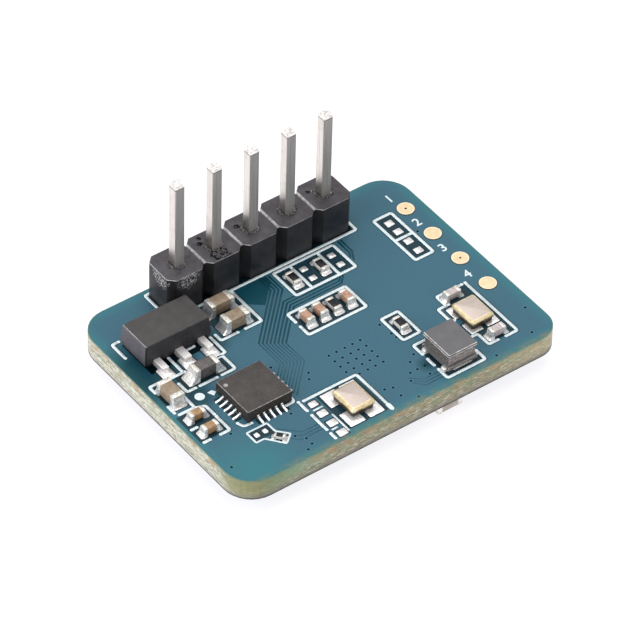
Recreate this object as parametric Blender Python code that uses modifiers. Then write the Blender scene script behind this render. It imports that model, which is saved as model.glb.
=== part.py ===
"""A microwave radar sensor module: a small populated circuit board with a five-pin header.

Lengths are in metres. X runs along the long side of the board, +Y points to the edge
with the header, and +Z is up out of the populated face. The origin lies under the middle
of the board, level with the lowest points, the tails of the header pins.
"""

import math

import bmesh
import bpy
from mathutils import Matrix

# Board
BOARD_LENGTH = 0.0220
BOARD_WIDTH = 0.0160
BOARD_THICKNESS = 0.0014
BOARD_CORNER_RADIUS = 0.0018
FRONT_RIGHT_CORNER_RADIUS = 0.0014
CORNER_STEPS = 8

# Clearances between solids that touch on the real module
SOLDER_FILM = 0.00003
SEAT_GAP = 0.00002
WELD = 0.0000005
SHARP_ANGLE = math.radians(40.0)

# Header: square pins pressed through a moulded strip that is scored to snap apart
PIN_COUNT = 5
PIN_PITCH = 0.00254
PIN_SIDE = 0.00064
PIN_ABOVE_STRIP = 0.0060
PIN_TAIL = 0.0012
PIN_TIP_LENGTH = 0.0005
PIN_TIP_SIDE = 0.00034
PIN_HOLE_CLEARANCE = 0.0001
PIN_HOLE_STEPS = 16
HEADER_SETBACK = 0.00142
STRIP_WIDTH = 0.0025
STRIP_HEIGHT = 0.00254
STRIP_CHAMFER = 0.0004
SCORE_WIDTH = 0.00020
SCORE_DEPTH = 0.00012
PITTED_POSITIONS = (1, 2, 4)
PIT_RADIUS = 0.00013
PIT_DEPTH = 0.00012
PIT_FROM_PIN = 0.00030
PIT_BACK = 0.00050

# Soldered tails
SOLDER_RING = 0.00030
SOLDER_WEB = 0.00009
TAIL_LEFT_BARE = 0.00040
SOLDER_STEPS = 5
SOLDER_SIDES = 16

# Regulator: a drafted moulding on a tab and two leads
REGULATOR_LENGTH = 0.0045
REGULATOR_DEPTH = 0.0025
REGULATOR_HEIGHT = 0.0015
REGULATOR_PARTING = 0.00045
REGULATOR_TOP_DRAFT = 0.00012
REGULATOR_FOOT_DRAFT = 0.00009
REGULATOR_EDGE = 0.00005
LEAD_PITCH = 0.0015
LEAD_WIDTH = 0.00042
LEAD_THICKNESS = 0.00040
LEAD_REACH = 0.00090
LEAD_EMBEDDED = 0.00060
TAB_LEAD_WIDTH = 0.00052
TAB_WIDTH = 0.0017
TAB_REACH = 0.00055
TAB_CORNER = 0.00030
TAB_SHOULDER = 0.0009
METAL_EDGE = 0.00003

# Two-terminal chips, by their usual outline names
CHIP_0603_LENGTH = 0.0016
CHIP_0603_WIDTH = 0.00080
CHIP_0603_HEIGHT = 0.00078
CHIP_0603_BAND = 0.00034
CHIP_0402_LENGTH = 0.0010
CHIP_0402_WIDTH = 0.00050
CHIP_0402_HEIGHT = 0.00050
CHIP_0402_BAND = 0.00024
RESISTOR_0402_HEIGHT = 0.00034
CHIP_0201_LENGTH = 0.00062
CHIP_0201_WIDTH = 0.00031
CHIP_0201_HEIGHT = 0.00026
CHIP_0201_BAND = 0.00016
BAND_PROUD = 0.000018
CHIP_EDGE = 0.00004

# Leadless packages: a sawn moulding with its lands fused in along four sides
CONTROLLER_SIDE = 0.0030
CONTROLLER_HEIGHT = 0.00075
RADAR_CHIP_SIDE = 0.0040
RADAR_CHIP_HEIGHT = 0.00085
LAND_PITCH = 0.00040
LAND_CORNER_GAP = 0.00060
LAND_WIDTH = 0.00020
LAND_LENGTH = 0.00035
LAND_THICKNESS = 0.00020
LAND_PROUD = 0.00002
PACKAGE_EDGE = 0.00003

# Crystals: a notched ceramic base under a welded metal lid
CRYSTAL_WIDTH = 0.00165
CRYSTAL_LENGTH = 0.00205
CRYSTAL_BASE_HEIGHT = 0.00034
CRYSTAL_NOTCH_RADIUS = 0.00014
CRYSTAL_NOTCH_STEPS = 4
LID_HEIGHT = 0.00024
LID_INSET = 0.00004
LID_SLOPE = 0.00014
LID_CORNER = 0.00022

# Power inductor: a square ferrite drum, its winding and two end terminals
INDUCTOR_WIDTH = 0.0020
INDUCTOR_LENGTH = 0.0024
INDUCTOR_HEIGHT = 0.0012
TOP_FLANGE_THICKNESS = 0.00024
BASE_FLANGE_THICKNESS = 0.00026
FLANGE_CORNER = 0.00012
BARREL_WIDTH = 0.0009
BARREL_LENGTH = 0.0013
WINDING_RECESS = 0.00014
WINDING_CORNER = 0.00024
WINDING_TURNS = 4
TURN_SWELL = 0.00004
TERMINAL_LENGTH = 0.00060
TERMINAL_THICKNESS = 0.00006
TERMINAL_RISE = 0.00020

# Test pads on the right edge
TEST_PAD_COUNT = 4
TEST_PAD_RADIUS = 0.00052
TEST_PAD_THICKNESS = 0.00004
TEST_PAD_SETBACK = 0.00119
TEST_PAD_PITCH = 0.00254
TEST_PAD_FIRST = 0.00306
TEST_PAD_SIDES = 24

# Antennas etched on the underside: a patch with an inset feed line
PATCH_WIDTH = 0.0038
PATCH_HEIGHT = 0.0030
PATCH_THICKNESS = 0.00004
FEED_WIDTH = 0.00030
FEED_INSET = 0.00090
FEED_SLOT = 0.00016
FEED_REACH = 0.0014
ANTENNA_SPACING = 0.0104

# Light sensor at the front edge of the underside
SENSOR_LENGTH = 0.0017
SENSOR_WIDTH = 0.00080
SENSOR_HEIGHT = 0.00062
SENSOR_BAND = 0.00036

# Layout on the populated face, each place measured from what the piece sits beside
REGULATOR_PAST_HEADER = 0.00130
REGULATOR_TO_HEADER = 0.00010
BESIDE_REGULATOR = 0.00086
FIRST_CAPACITOR_TO_HEADER = 0.00058
CAPACITOR_ROW_GAP = 0.00070
BEAD_BELOW_LEADS = 0.00080
BEAD_TO_EDGE_CAPACITOR = 0.00144
EDGE_CAPACITOR_SETBACK = 0.00094
EDGE_CAPACITOR_BELOW_BEAD = 0.00052
CONTROLLER_BELOW_BEAD = 0.00115
CONTROLLER_SETBACK = 0.00322
DECOUPLING_GAP = 0.00154
DECOUPLING_PITCH = 0.00125
DECOUPLING_OFFSET = 0.00045
TINY_RESISTOR_LEFT = 0.00077
TINY_RESISTOR_BELOW = 0.00195
TINY_RESISTOR_TURN = math.radians(-49.0)
CONTROLLER_CRYSTAL_X = -0.00213
CONTROLLER_CRYSTAL_SETBACK = 0.00202
INDUCTOR_FROM_RIGHT = 0.00640
INDUCTOR_SETBACK = 0.00210
FEEDBACK_LEFT_OF_INDUCTOR = 0.00092
FEEDBACK_ABOVE_INDUCTOR = 0.00160
RADAR_CRYSTAL_FROM_RIGHT = 0.00354
RADAR_CRYSTAL_SETBACK = 0.00371
CRYSTAL_CAPACITOR_GAP = 0.00062
LOWER_CAPACITOR_RIGHT = 0.00022
HEADER_RESISTOR_GAP = 0.00102
HEADER_RESISTOR_FIRST_X = 0.00100
HEADER_RESISTOR_SPACING = 0.00192
FILTER_BELOW_HEADER_RESISTORS = 0.00203
FILTER_FIRST_X = -0.00030
FILTER_PITCH = 0.00093

# Layout on the underside
RADAR_CHIP_X = 0.00010
RADAR_CHIP_SETBACK = 0.00470
RADAR_PASSIVE_GAP = 0.00085
RADAR_CAPACITOR_PITCH = 0.00200
RADAR_RESISTOR_PITCH = 0.00180
SENSOR_X = 0.00326
SENSOR_SETBACK = 0.00015

# Worked out from the sizes above
UNDERSIDE = PIN_TAIL
TOPSIDE = PIN_TAIL + BOARD_THICKNESS
LEFT = -BOARD_LENGTH / 2
RIGHT = BOARD_LENGTH / 2
FRONT = -BOARD_WIDTH / 2
BACK = BOARD_WIDTH / 2
HEADER_Y = BACK - HEADER_SETBACK
HEADER_FRONT = HEADER_Y - STRIP_WIDTH / 2
HEADER_LEFT = -PIN_COUNT * PIN_PITCH / 2
PIN_HALF_DIAGONAL = PIN_SIDE / math.sqrt(2)
PIN_HOLE_RADIUS = PIN_HALF_DIAGONAL + PIN_HOLE_CLEARANCE
SOLDER_RADIUS = PIN_HOLE_RADIUS + SOLDER_RING
SOLDER_TIP_RADIUS = PIN_HALF_DIAGONAL + SOLDER_WEB
SOLDER_HEIGHT = PIN_TAIL - TAIL_LEFT_BARE
STRIP_BOTTOM = TOPSIDE + SEAT_GAP
STRIP_TOP = STRIP_BOTTOM + STRIP_HEIGHT


def clear_scene():
    """Removes every object and makes the two collections."""
    for leftover in list(bpy.data.objects):
        bpy.data.objects.remove(leftover)
    made = []
    for name in ("radar_sensor_module", "cutters"):
        collection = bpy.data.collections.new(name)
        bpy.context.scene.collection.children.link(collection)
        made.append(collection)
    return made


PARTS, CUTTERS = clear_scene()


def finish(name, colour, roughness, metallic=0.0):
    """A plain Principled material."""
    material = bpy.data.materials.new(name)
    material.use_nodes = True
    shader = material.node_tree.nodes["Principled BSDF"]
    shader.inputs["Base Color"].default_value = (*colour, 1.0)
    shader.inputs["Roughness"].default_value = roughness
    shader.inputs["Metallic"].default_value = metallic
    return material


SOLDER_MASK = finish("solder_mask", (0.045, 0.165, 0.235), 0.35)
HEADER_PLASTIC = finish("header_plastic", (0.022, 0.021, 0.026), 0.5)
TIN = finish("tin", (0.72, 0.70, 0.68), 0.25, 1.0)
SOLDER = finish("solder", (0.68, 0.68, 0.68), 0.3, 1.0)
MOULDING = finish("moulding", (0.055, 0.048, 0.048), 0.6)
TAN_CERAMIC = finish("tan_ceramic", (0.42, 0.29, 0.19), 0.5)
BROWN_CERAMIC = finish("brown_ceramic", (0.45, 0.20, 0.09), 0.5)
PALE_CERAMIC = finish("pale_ceramic", (0.62, 0.50, 0.48), 0.5)
DARK_CERAMIC = finish("dark_ceramic", (0.04, 0.038, 0.038), 0.45)
FERRITE = finish("ferrite", (0.17, 0.16, 0.17), 0.5)
WINDING = finish("winding", (0.09, 0.075, 0.065), 0.6)
BASE_CERAMIC = finish("base_ceramic", (0.10, 0.075, 0.05), 0.6)
LID_METAL = finish("lid_metal", (0.78, 0.66, 0.50), 0.25, 1.0)
GOLD = finish("gold", (0.90, 0.66, 0.42), 0.3, 1.0)
MASKED_COPPER = finish("masked_copper", (0.06, 0.22, 0.28), 0.35)


def add_object(name, mesh, material, collection=PARTS):
    """Puts a mesh in the scene as a named object with its own material."""
    mesh.materials.clear()
    mesh.materials.append(material)
    made = bpy.data.objects.new(name, mesh)
    collection.objects.link(made)
    return made


def add_cutter(name, mesh):
    """A helper for a Boolean, kept out of the model."""
    cutter = add_object(name, mesh, MOULDING, CUTTERS)
    cutter.hide_render = True
    cutter.display_type = "WIRE"
    return cutter


def boolean(target, cutter, operation="DIFFERENCE"):
    """Adds a live Boolean to the target."""
    modifier = target.modifiers.new(cutter.name, "BOOLEAN")
    modifier.operation = operation
    modifier.object = cutter
    modifier.solver = "EXACT"


def bevel(target, width):
    """Breaks the sharp edges of the target."""
    modifier = target.modifiers.new("edges", "BEVEL")
    modifier.width = width
    modifier.segments = 1
    modifier.limit_method = "ANGLE"
    modifier.angle_limit = SHARP_ANGLE
    modifier.use_clamp_overlap = True


def place(piece, x, y, turn=0.0, underside=False):
    """Stands a piece on the board, or hangs it under the board on a film of solder."""
    if underside:
        piece.location = (x, y, UNDERSIDE - SOLDER_FILM)
        piece.rotation_euler = (math.pi, 0.0, turn)
    else:
        piece.location = (x, y, TOPSIDE + SOLDER_FILM)
        piece.rotation_euler = (0.0, 0.0, turn)
    return piece


def to_mesh(shape, name):
    """Closes a bmesh off as a mesh whose faces point out."""
    bmesh.ops.recalc_face_normals(shape, faces=shape.faces)
    mesh = bpy.data.meshes.new(name)
    shape.to_mesh(mesh)
    shape.free()
    return mesh


def flat_mesh(name, outlines, thickness):
    """A filled 2D curve as a solid from z = 0 up: the first outline is its rim, the others are holes."""
    curve = bpy.data.curves.new(name, "CURVE")
    curve.dimensions = "2D"
    curve.fill_mode = "BOTH"
    curve.extrude = thickness / 2
    for outline in outlines:
        spline = curve.splines.new("POLY")
        spline.points.add(len(outline) - 1)
        for point, (x, y) in zip(spline.points, outline):
            point.co = (x, y, 0.0, 1.0)
        spline.use_cyclic_u = True
    guide = bpy.data.objects.new(name, curve)
    bpy.context.scene.collection.objects.link(guide)
    graph = bpy.context.evaluated_depsgraph_get()
    filled = bpy.data.meshes.new_from_object(guide.evaluated_get(graph))
    bpy.data.objects.remove(guide)
    shape = bmesh.new()
    shape.from_mesh(filled)
    bmesh.ops.remove_doubles(shape, verts=shape.verts, dist=WELD)
    bmesh.ops.translate(shape, verts=shape.verts, vec=(0.0, 0.0, thickness / 2))
    return to_mesh(shape, name)


def stacked_mesh(name, sections, corner, corner_steps=2, along_x=False):
    """Rounded rectangles (height, length, width) joined one above the other into one solid.

    The first section is a square grid face with bevelled corners. Each next one is that
    face extruded and scaled, so two sections at one height make a step.
    """
    shape = bmesh.new()
    low, length, width = sections[0]
    made = bmesh.ops.create_grid(shape, x_segments=1, y_segments=1, size=0.5)
    bmesh.ops.scale(shape, verts=made["verts"], vec=(length, width, 1.0))
    bmesh.ops.bevel(shape, geom=shape.verts[:], offset=corner, offset_type="OFFSET", affect="VERTICES",
                    segments=corner_steps, profile=0.5, material=-1)
    bmesh.ops.translate(shape, verts=shape.verts, vec=(0.0, 0.0, low))
    face = shape.faces[:][0]
    spent = []
    for height, next_length, next_width in sections[1:]:
        grown = bmesh.ops.extrude_face_region(shape, geom=[face])["geom"]
        bmesh.ops.delete(shape, geom=spent, context="FACES_ONLY")
        face = next(item for item in grown if isinstance(item, bmesh.types.BMFace))
        spent = [face]
        bmesh.ops.scale(shape, verts=face.verts, vec=(next_length / length, next_width / width, 1.0))
        bmesh.ops.translate(shape, verts=face.verts, vec=(0.0, 0.0, height - low))
        low, length, width = height, next_length, next_width
    if along_x:
        turn = Matrix.Rotation(math.pi / 2, 3, "Y")
        bmesh.ops.rotate(shape, verts=shape.verts, matrix=turn)
    return to_mesh(shape, name)


def add_box(shape, centre, size):
    """Adds a box to a bmesh."""
    corners = bmesh.ops.create_cube(shape, size=1.0)["verts"]
    bmesh.ops.scale(shape, verts=corners, vec=size)
    bmesh.ops.translate(shape, verts=corners, vec=centre)


def box_mesh(name, centre, size):
    """A plain box, for a bar or a cutter."""
    shape = bmesh.new()
    add_box(shape, centre, size)
    return to_mesh(shape, name)


def arc(centre_x, centre_y, radius, start, end, steps):
    """Points along an arc, its ends included, angles in degrees."""
    points = []
    for step in range(steps + 1):
        angle = math.radians(start + (end - start) * step / steps)
        points.append((centre_x + radius * math.cos(angle), centre_y + radius * math.sin(angle)))
    return points


def circle(centre_x, centre_y, radius, sides):
    """Points round a circle."""
    return arc(centre_x, centre_y, radius, 0.0, 360.0, sides)[:-1]


def pin_positions():
    """The x of each header pin, from left to right."""
    return [(index - (PIN_COUNT - 1) / 2) * PIN_PITCH for index in range(PIN_COUNT)]


def make_board():
    """The laminate: a rounded slab drilled for the header."""
    rim = []
    for start, side_x, side_y in ((0, 1, 1), (90, -1, 1), (180, -1, -1), (270, 1, -1)):
        radius = FRONT_RIGHT_CORNER_RADIUS if start == 270 else BOARD_CORNER_RADIUS
        x, y = side_x * (BOARD_LENGTH / 2 - radius), side_y * (BOARD_WIDTH / 2 - radius)
        rim += arc(x, y, radius, start, start + 90, CORNER_STEPS)
    holes = [circle(x, HEADER_Y, PIN_HOLE_RADIUS, PIN_HOLE_STEPS) for x in pin_positions()]
    board = add_object("board", flat_mesh("board", [rim] + holes, BOARD_THICKNESS), SOLDER_MASK)
    board.location.z = UNDERSIDE


def make_header_strip():
    """The moulded strip: a bar notched between its pins, scored across the top, bored and pitted."""
    length = PIN_COUNT * PIN_PITCH
    middle = (0.0, 0.0, STRIP_HEIGHT / 2)
    bar = box_mesh("header_insulator", middle, (length, STRIP_WIDTH, STRIP_HEIGHT))
    strip = add_object("header_insulator", bar, HEADER_PLASTIC)
    strip.location = (0.0, HEADER_Y, STRIP_BOTTOM)

    notches = bmesh.new()
    diamond = STRIP_CHAMFER * math.sqrt(2)
    for index in range(PIN_COUNT + 1):
        x = index * PIN_PITCH - length / 2
        for side in (-1, 1):
            made = bmesh.ops.create_cube(notches, size=1.0)["verts"]
            bmesh.ops.scale(notches, verts=made, vec=(diamond, diamond, 2 * STRIP_HEIGHT))
            bmesh.ops.rotate(notches, verts=made, matrix=Matrix.Rotation(math.pi / 4, 3, "Z"))
            bmesh.ops.translate(notches, verts=made, vec=(x, side * STRIP_WIDTH / 2, STRIP_HEIGHT / 2))

    scores = bmesh.new()
    ridge = math.sqrt(2)
    for index in range(1, PIN_COUNT):
        made = bmesh.ops.create_cube(scores, size=1.0)["verts"]
        bmesh.ops.rotate(scores, verts=made, matrix=Matrix.Rotation(math.pi / 4, 3, "Y"))
        bmesh.ops.scale(scores, verts=made, vec=(SCORE_WIDTH / ridge, 2 * STRIP_WIDTH, SCORE_DEPTH * ridge))
        bmesh.ops.translate(scores, verts=made, vec=(index * PIN_PITCH - length / 2, 0.0, STRIP_HEIGHT))

    ways = bmesh.new()
    hole = PIN_SIDE + 2 * SEAT_GAP
    for x in pin_positions():
        add_box(ways, (x, 0.0, STRIP_HEIGHT / 2), (hole, hole, 2 * STRIP_HEIGHT))

    pits = bmesh.new()
    for index in PITTED_POSITIONS:
        x = pin_positions()[index] - PIN_SIDE / 2 - PIT_FROM_PIN
        bmesh.ops.create_cone(pits, cap_ends=True, segments=8, radius1=PIT_RADIUS, radius2=PIT_RADIUS,
                              depth=2 * PIT_DEPTH, matrix=Matrix.Translation((x, PIT_BACK, STRIP_HEIGHT)))

    for name, shape in (("notches", notches), ("scores", scores), ("pin_ways", ways), ("pits", pits)):
        cutter = add_cutter("strip_" + name, to_mesh(shape, "strip_" + name))
        cutter.location = strip.location
        boolean(strip, cutter)


def make_header_pins():
    """Square pins, pointed at both ends, that run from above the strip down through the board."""
    low, high = -UNDERSIDE, STRIP_TOP - UNDERSIDE + PIN_ABOVE_STRIP
    tip = PIN_TIP_SIDE
    sections = ((low, tip, tip), (low + PIN_TIP_LENGTH, PIN_SIDE, PIN_SIDE),
                (high - PIN_TIP_LENGTH, PIN_SIDE, PIN_SIDE), (high, tip, tip))
    mesh = stacked_mesh("header_pin", sections, METAL_EDGE, corner_steps=1)
    for index, x in enumerate(pin_positions()):
        pin = add_object(f"header_pin_{index + 1}", mesh, TIN)
        pin.location = (x, HEADER_Y, UNDERSIDE)


def make_solder_joints():
    """Solder that fills each drilled hole and climbs the pin's tail in a hollow curve."""
    fill = PIN_HOLE_RADIUS - SEAT_GAP
    brim = BOARD_THICKNESS - SEAT_GAP
    profile = [(0.0, brim), (fill, brim), (fill, -SEAT_GAP), (SOLDER_RADIUS, -SEAT_GAP)]
    for step in range(1, SOLDER_STEPS + 1):
        share = step / SOLDER_STEPS
        radius = SOLDER_TIP_RADIUS + (SOLDER_RADIUS - SOLDER_TIP_RADIUS) * (1.0 - share) ** 2
        profile.append((radius, -SEAT_GAP - SOLDER_HEIGHT * share))
    profile.append((0.0, profile[-1][1]))
    shape = bmesh.new()
    points = [shape.verts.new((radius, 0.0, height)) for radius, height in profile]
    for first, second in zip(points, points[1:]):
        shape.edges.new((first, second))
    mesh = bpy.data.meshes.new("solder_joint")
    shape.to_mesh(mesh)
    shape.free()
    hole = PIN_SIDE + SEAT_GAP
    for index, x in enumerate(pin_positions()):
        joint = add_object(f"solder_joint_{index + 1}", mesh, SOLDER)
        joint.location = (x, HEADER_Y, UNDERSIDE)
        turned = joint.modifiers.new("turned", "SCREW")
        turned.steps = SOLDER_SIDES
        turned.render_steps = SOLDER_SIDES
        turned.use_merge_vertices = True
        turned.merge_threshold = WELD
        way = box_mesh("pin_way", (0.0, 0.0, 0.0), (hole, hole, 4 * BOARD_THICKNESS))
        cutter = add_cutter(f"pin_way_{index + 1}", way)
        cutter.location = joint.location
        boolean(joint, cutter)


def lead_mesh(name, extra):
    """One outer lead of the regulator, or the pocket for it when extra is a clearance."""
    front = -(REGULATOR_DEPTH / 2 + LEAD_REACH)
    back = -(REGULATOR_DEPTH / 2 - LEAD_EMBEDDED)
    size = (LEAD_WIDTH + 2 * extra, back - front + 2 * extra, LEAD_THICKNESS + 2 * extra)
    return box_mesh(name, (0.0, (front + back) / 2, LEAD_THICKNESS / 2), size)


def tab_rim(extra):
    """The middle lead widening into the heat tab, grown on every side by extra."""
    front = -(REGULATOR_DEPTH / 2 + LEAD_REACH) - extra
    shoulder = -(REGULATOR_DEPTH / 2 - TAB_SHOULDER) - extra
    back = REGULATOR_DEPTH / 2 + TAB_REACH + extra
    narrow = TAB_LEAD_WIDTH / 2 + extra
    wide = TAB_WIDTH / 2 + extra
    right = [(narrow, front), (narrow, shoulder - TAB_CORNER), (wide, shoulder)]
    right += [(wide, back - TAB_CORNER), (wide - TAB_CORNER, back)]
    return right + [(-x, y) for x, y in reversed(right)]


def make_regulator():
    """The regulator's moulding, its two outer leads, and the middle lead that is one with the tab."""
    x = HEADER_LEFT - REGULATOR_PAST_HEADER
    y = HEADER_FRONT - REGULATOR_TO_HEADER - REGULATOR_DEPTH / 2
    foot, top = REGULATOR_FOOT_DRAFT, REGULATOR_TOP_DRAFT
    rounded = top + REGULATOR_EDGE
    sections = ((0.0, REGULATOR_LENGTH - 2 * foot, REGULATOR_DEPTH - 2 * foot),
                (REGULATOR_PARTING, REGULATOR_LENGTH, REGULATOR_DEPTH),
                (REGULATOR_HEIGHT - REGULATOR_EDGE, REGULATOR_LENGTH - 2 * top, REGULATOR_DEPTH - 2 * top),
                (REGULATOR_HEIGHT, REGULATOR_LENGTH - 2 * rounded, REGULATOR_DEPTH - 2 * rounded))
    moulding = stacked_mesh("regulator_body", sections, REGULATOR_EDGE)
    body = place(add_object("regulator_body", moulding, MOULDING), x, y)
    for name, offset in (("regulator_input_lead", -LEAD_PITCH), ("regulator_output_lead", LEAD_PITCH)):
        lead = place(add_object(name, lead_mesh(name, 0.0), TIN), x + offset, y)
        bevel(lead, METAL_EDGE)
        pocket = add_cutter(name + "_pocket", lead_mesh(name + "_pocket", SEAT_GAP))
        boolean(body, place(pocket, x + offset, y))
    tab = flat_mesh("regulator_tab", [tab_rim(0.0)], LEAD_THICKNESS)
    bevel(place(add_object("regulator_tab", tab, TIN), x, y), METAL_EDGE)
    room = flat_mesh("tab_pocket", [tab_rim(SEAT_GAP)], LEAD_THICKNESS + 2 * SEAT_GAP)
    slot = place(add_cutter("tab_pocket", room), x, y)
    slot.location.z -= SEAT_GAP
    boolean(body, slot)
    return x, y


def chip_mesh(name, length, width, height, band, corner_steps=1):
    """A two-terminal chip lying along X, its plated end bands a little proud of the ceramic."""
    end, edge, thin = length / 2, 2 * CHIP_EDGE, 2 * BAND_PROUD
    stations = [(-end, height - edge, width - edge), (-end + CHIP_EDGE, height, width)]
    stations += [(-end + band, height, width), (-end + band + BAND_PROUD, height - thin, width - thin)]
    stations += [(-along, high, wide) for along, high, wide in reversed(stations)]
    mesh = stacked_mesh(name, stations, CHIP_EDGE, corner_steps, along_x=True)
    mesh.transform(Matrix.Translation((0.0, 0.0, height / 2)))
    return mesh


def chip_0603(name, x, y, material, turn=0.0):
    """A 1.6 by 0.8 mm chip."""
    size = (CHIP_0603_LENGTH, CHIP_0603_WIDTH, CHIP_0603_HEIGHT, CHIP_0603_BAND)
    mesh = chip_mesh(name, *size, corner_steps=2)
    return place(add_object(name, mesh, material), x, y, turn)


def chip_0402(name, x, y, material, turn=0.0, height=CHIP_0402_HEIGHT, underside=False):
    """A 1.0 by 0.5 mm chip."""
    mesh = chip_mesh(name, CHIP_0402_LENGTH, CHIP_0402_WIDTH, height, CHIP_0402_BAND)
    return place(add_object(name, mesh, material), x, y, turn, underside)


def package_mesh(name, side, height):
    """The sawn moulding of a leadless package, raised a little to stand on its lands."""
    trimmed = side - 2 * PACKAGE_EDGE
    sections = ((LAND_PROUD, side, side), (height - PACKAGE_EDGE, side, side), (height, trimmed, trimmed))
    return stacked_mesh(name, sections, PACKAGE_EDGE, corner_steps=1)


def make_leadless_package(name, x, y, side, height, underside=False):
    """A leadless package whose lands along four sides are fused with it."""
    lands = int((side - 2 * LAND_CORNER_GAP + WELD) / LAND_PITCH) + 1
    body = package_mesh(name, side, height)
    package = place(add_object(name, body, MOULDING), x, y, underside=underside)
    shape = bmesh.new()
    inward = side / 2 + LAND_PROUD - LAND_LENGTH / 2
    for turn in range(4):
        quarter = Matrix.Rotation(turn * math.pi / 2, 3, "Z")
        for index in range(lands):
            along = (index - (lands - 1) / 2) * LAND_PITCH
            corners = bmesh.ops.create_cube(shape, size=1.0)["verts"]
            bmesh.ops.scale(shape, verts=corners, vec=(LAND_WIDTH, LAND_LENGTH, LAND_THICKNESS))
            bmesh.ops.translate(shape, verts=corners, vec=(along, -inward, LAND_THICKNESS / 2))
            bmesh.ops.rotate(shape, verts=corners, matrix=quarter)
    land_group = add_cutter(name + "_lands", to_mesh(shape, name + "_lands"))
    place(land_group, x, y, underside=underside)
    boolean(package, land_group, "UNION")


def crystal_rim():
    """The ceramic base's outline: a rectangle with a quarter-round notch at each corner."""
    rim = []
    for start, side_x, side_y in ((90, -1, -1), (180, 1, -1), (270, 1, 1), (360, -1, 1)):
        x, y = side_x * CRYSTAL_WIDTH / 2, side_y * CRYSTAL_LENGTH / 2
        rim += arc(x, y, CRYSTAL_NOTCH_RADIUS, start, start - 90, CRYSTAL_NOTCH_STEPS)
    return rim


def make_crystal(name, x, y):
    """A four-pad crystal: the notched ceramic base and the sloped lid welded on it."""
    base = flat_mesh(name + "_base", [crystal_rim()], CRYSTAL_BASE_HEIGHT)
    place(add_object(name + "_base", base, BASE_CERAMIC), x, y)
    width, length = CRYSTAL_WIDTH - 2 * LID_INSET, CRYSTAL_LENGTH - 2 * LID_INSET
    low = CRYSTAL_BASE_HEIGHT + SEAT_GAP
    wall, top = low + LID_HEIGHT / 2, low + LID_HEIGHT
    slope = 2 * LID_SLOPE
    sections = ((low, width, length), (wall, width, length), (top, width - slope, length - slope))
    lid = stacked_mesh(name + "_lid", sections, LID_CORNER, corner_steps=3)
    place(add_object(name + "_lid", lid, LID_METAL), x, y)


def winding_sections(low, high, width, length):
    """The winding's turns, each a shallow bulge between two grooves."""
    turns = []
    grooved_width, grooved_length = width - 2 * TURN_SWELL, length - 2 * TURN_SWELL
    turn_height = (high - low) / WINDING_TURNS
    for turn in range(WINDING_TURNS):
        start = low + turn * turn_height
        turns.append((start, grooved_width, grooved_length))
        turns.append((start + turn_height / 4, width, length))
        turns.append((start + turn_height * 3 / 4, width, length))
    turns.append((high, grooved_width, grooved_length))
    return turns


def make_inductor_terminals(x, y):
    """Two plated angles: a foot under each end of the drum, and a short rise up its side."""
    outer = -INDUCTOR_LENGTH / 2
    inner, toe = outer + TERMINAL_THICKNESS, outer + TERMINAL_LENGTH
    foot, top = TERMINAL_THICKNESS, TERMINAL_THICKNESS + TERMINAL_RISE
    angle = [(outer, 0.0), (toe, 0.0), (toe, foot), (inner, foot), (inner, top), (outer, top)]
    mesh = flat_mesh("terminal", [angle], INDUCTOR_WIDTH)
    upright = Matrix(((0, 0, 1, 0), (1, 0, 0, 0), (0, 1, 0, 0), (0, 0, 0, 1)))
    mesh.transform(Matrix.Translation((-INDUCTOR_WIDTH / 2, 0.0, 0.0)) @ upright)
    place(add_object("power_inductor_front_terminal", mesh, TIN), x, y)
    place(add_object("power_inductor_back_terminal", mesh, TIN), x, y, math.pi)


def make_inductor():
    """The ferrite drum, the winding round its barrel, and its terminals."""
    x, y = RIGHT - INDUCTOR_FROM_RIGHT, FRONT + INDUCTOR_SETBACK
    base = TERMINAL_THICKNESS + SEAT_GAP
    low, high = base + BASE_FLANGE_THICKNESS, INDUCTOR_HEIGHT - TOP_FLANGE_THICKNESS
    width, length = INDUCTOR_WIDTH, INDUCTOR_LENGTH
    base_length = length - 2 * base
    rounded = 2 * METAL_EDGE
    sections = ((base, width, base_length), (low, width, base_length),
                (low, BARREL_WIDTH, BARREL_LENGTH), (high, BARREL_WIDTH, BARREL_LENGTH),
                (high, width, length), (INDUCTOR_HEIGHT - METAL_EDGE, width, length),
                (INDUCTOR_HEIGHT, width - rounded, length - rounded))
    core = stacked_mesh("power_inductor_core", sections, FLANGE_CORNER)
    place(add_object("power_inductor_core", core, FERRITE), x, y)

    recess = 2 * WINDING_RECESS
    turns = winding_sections(low + SEAT_GAP, high - SEAT_GAP, width - recess, base_length - recess)
    coil = stacked_mesh("power_inductor_winding", turns, WINDING_CORNER)
    winding = place(add_object("power_inductor_winding", coil, WINDING), x, y)
    bore_width, bore_length = BARREL_WIDTH + 2 * SEAT_GAP, BARREL_LENGTH + 2 * SEAT_GAP
    sections = ((0.0, bore_width, bore_length), (INDUCTOR_HEIGHT, bore_width, bore_length))
    barrel = add_cutter("barrel_way", stacked_mesh("barrel_way", sections, FLANGE_CORNER))
    boolean(winding, place(barrel, x, y))
    make_inductor_terminals(x, y)
    return x, y


def make_test_pads():
    """Four round gilded pads in a column beside the right edge."""
    disc = circle(0.0, 0.0, TEST_PAD_RADIUS, TEST_PAD_SIDES)
    mesh = flat_mesh("test_pad", [disc], TEST_PAD_THICKNESS)
    x = RIGHT - TEST_PAD_SETBACK
    for index in range(TEST_PAD_COUNT):
        y = BACK - TEST_PAD_FIRST - index * TEST_PAD_PITCH
        pad = add_object(f"test_pad_{index + 1}", mesh, GOLD)
        pad.location = (x, y, TOPSIDE + SEAT_GAP)


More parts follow.
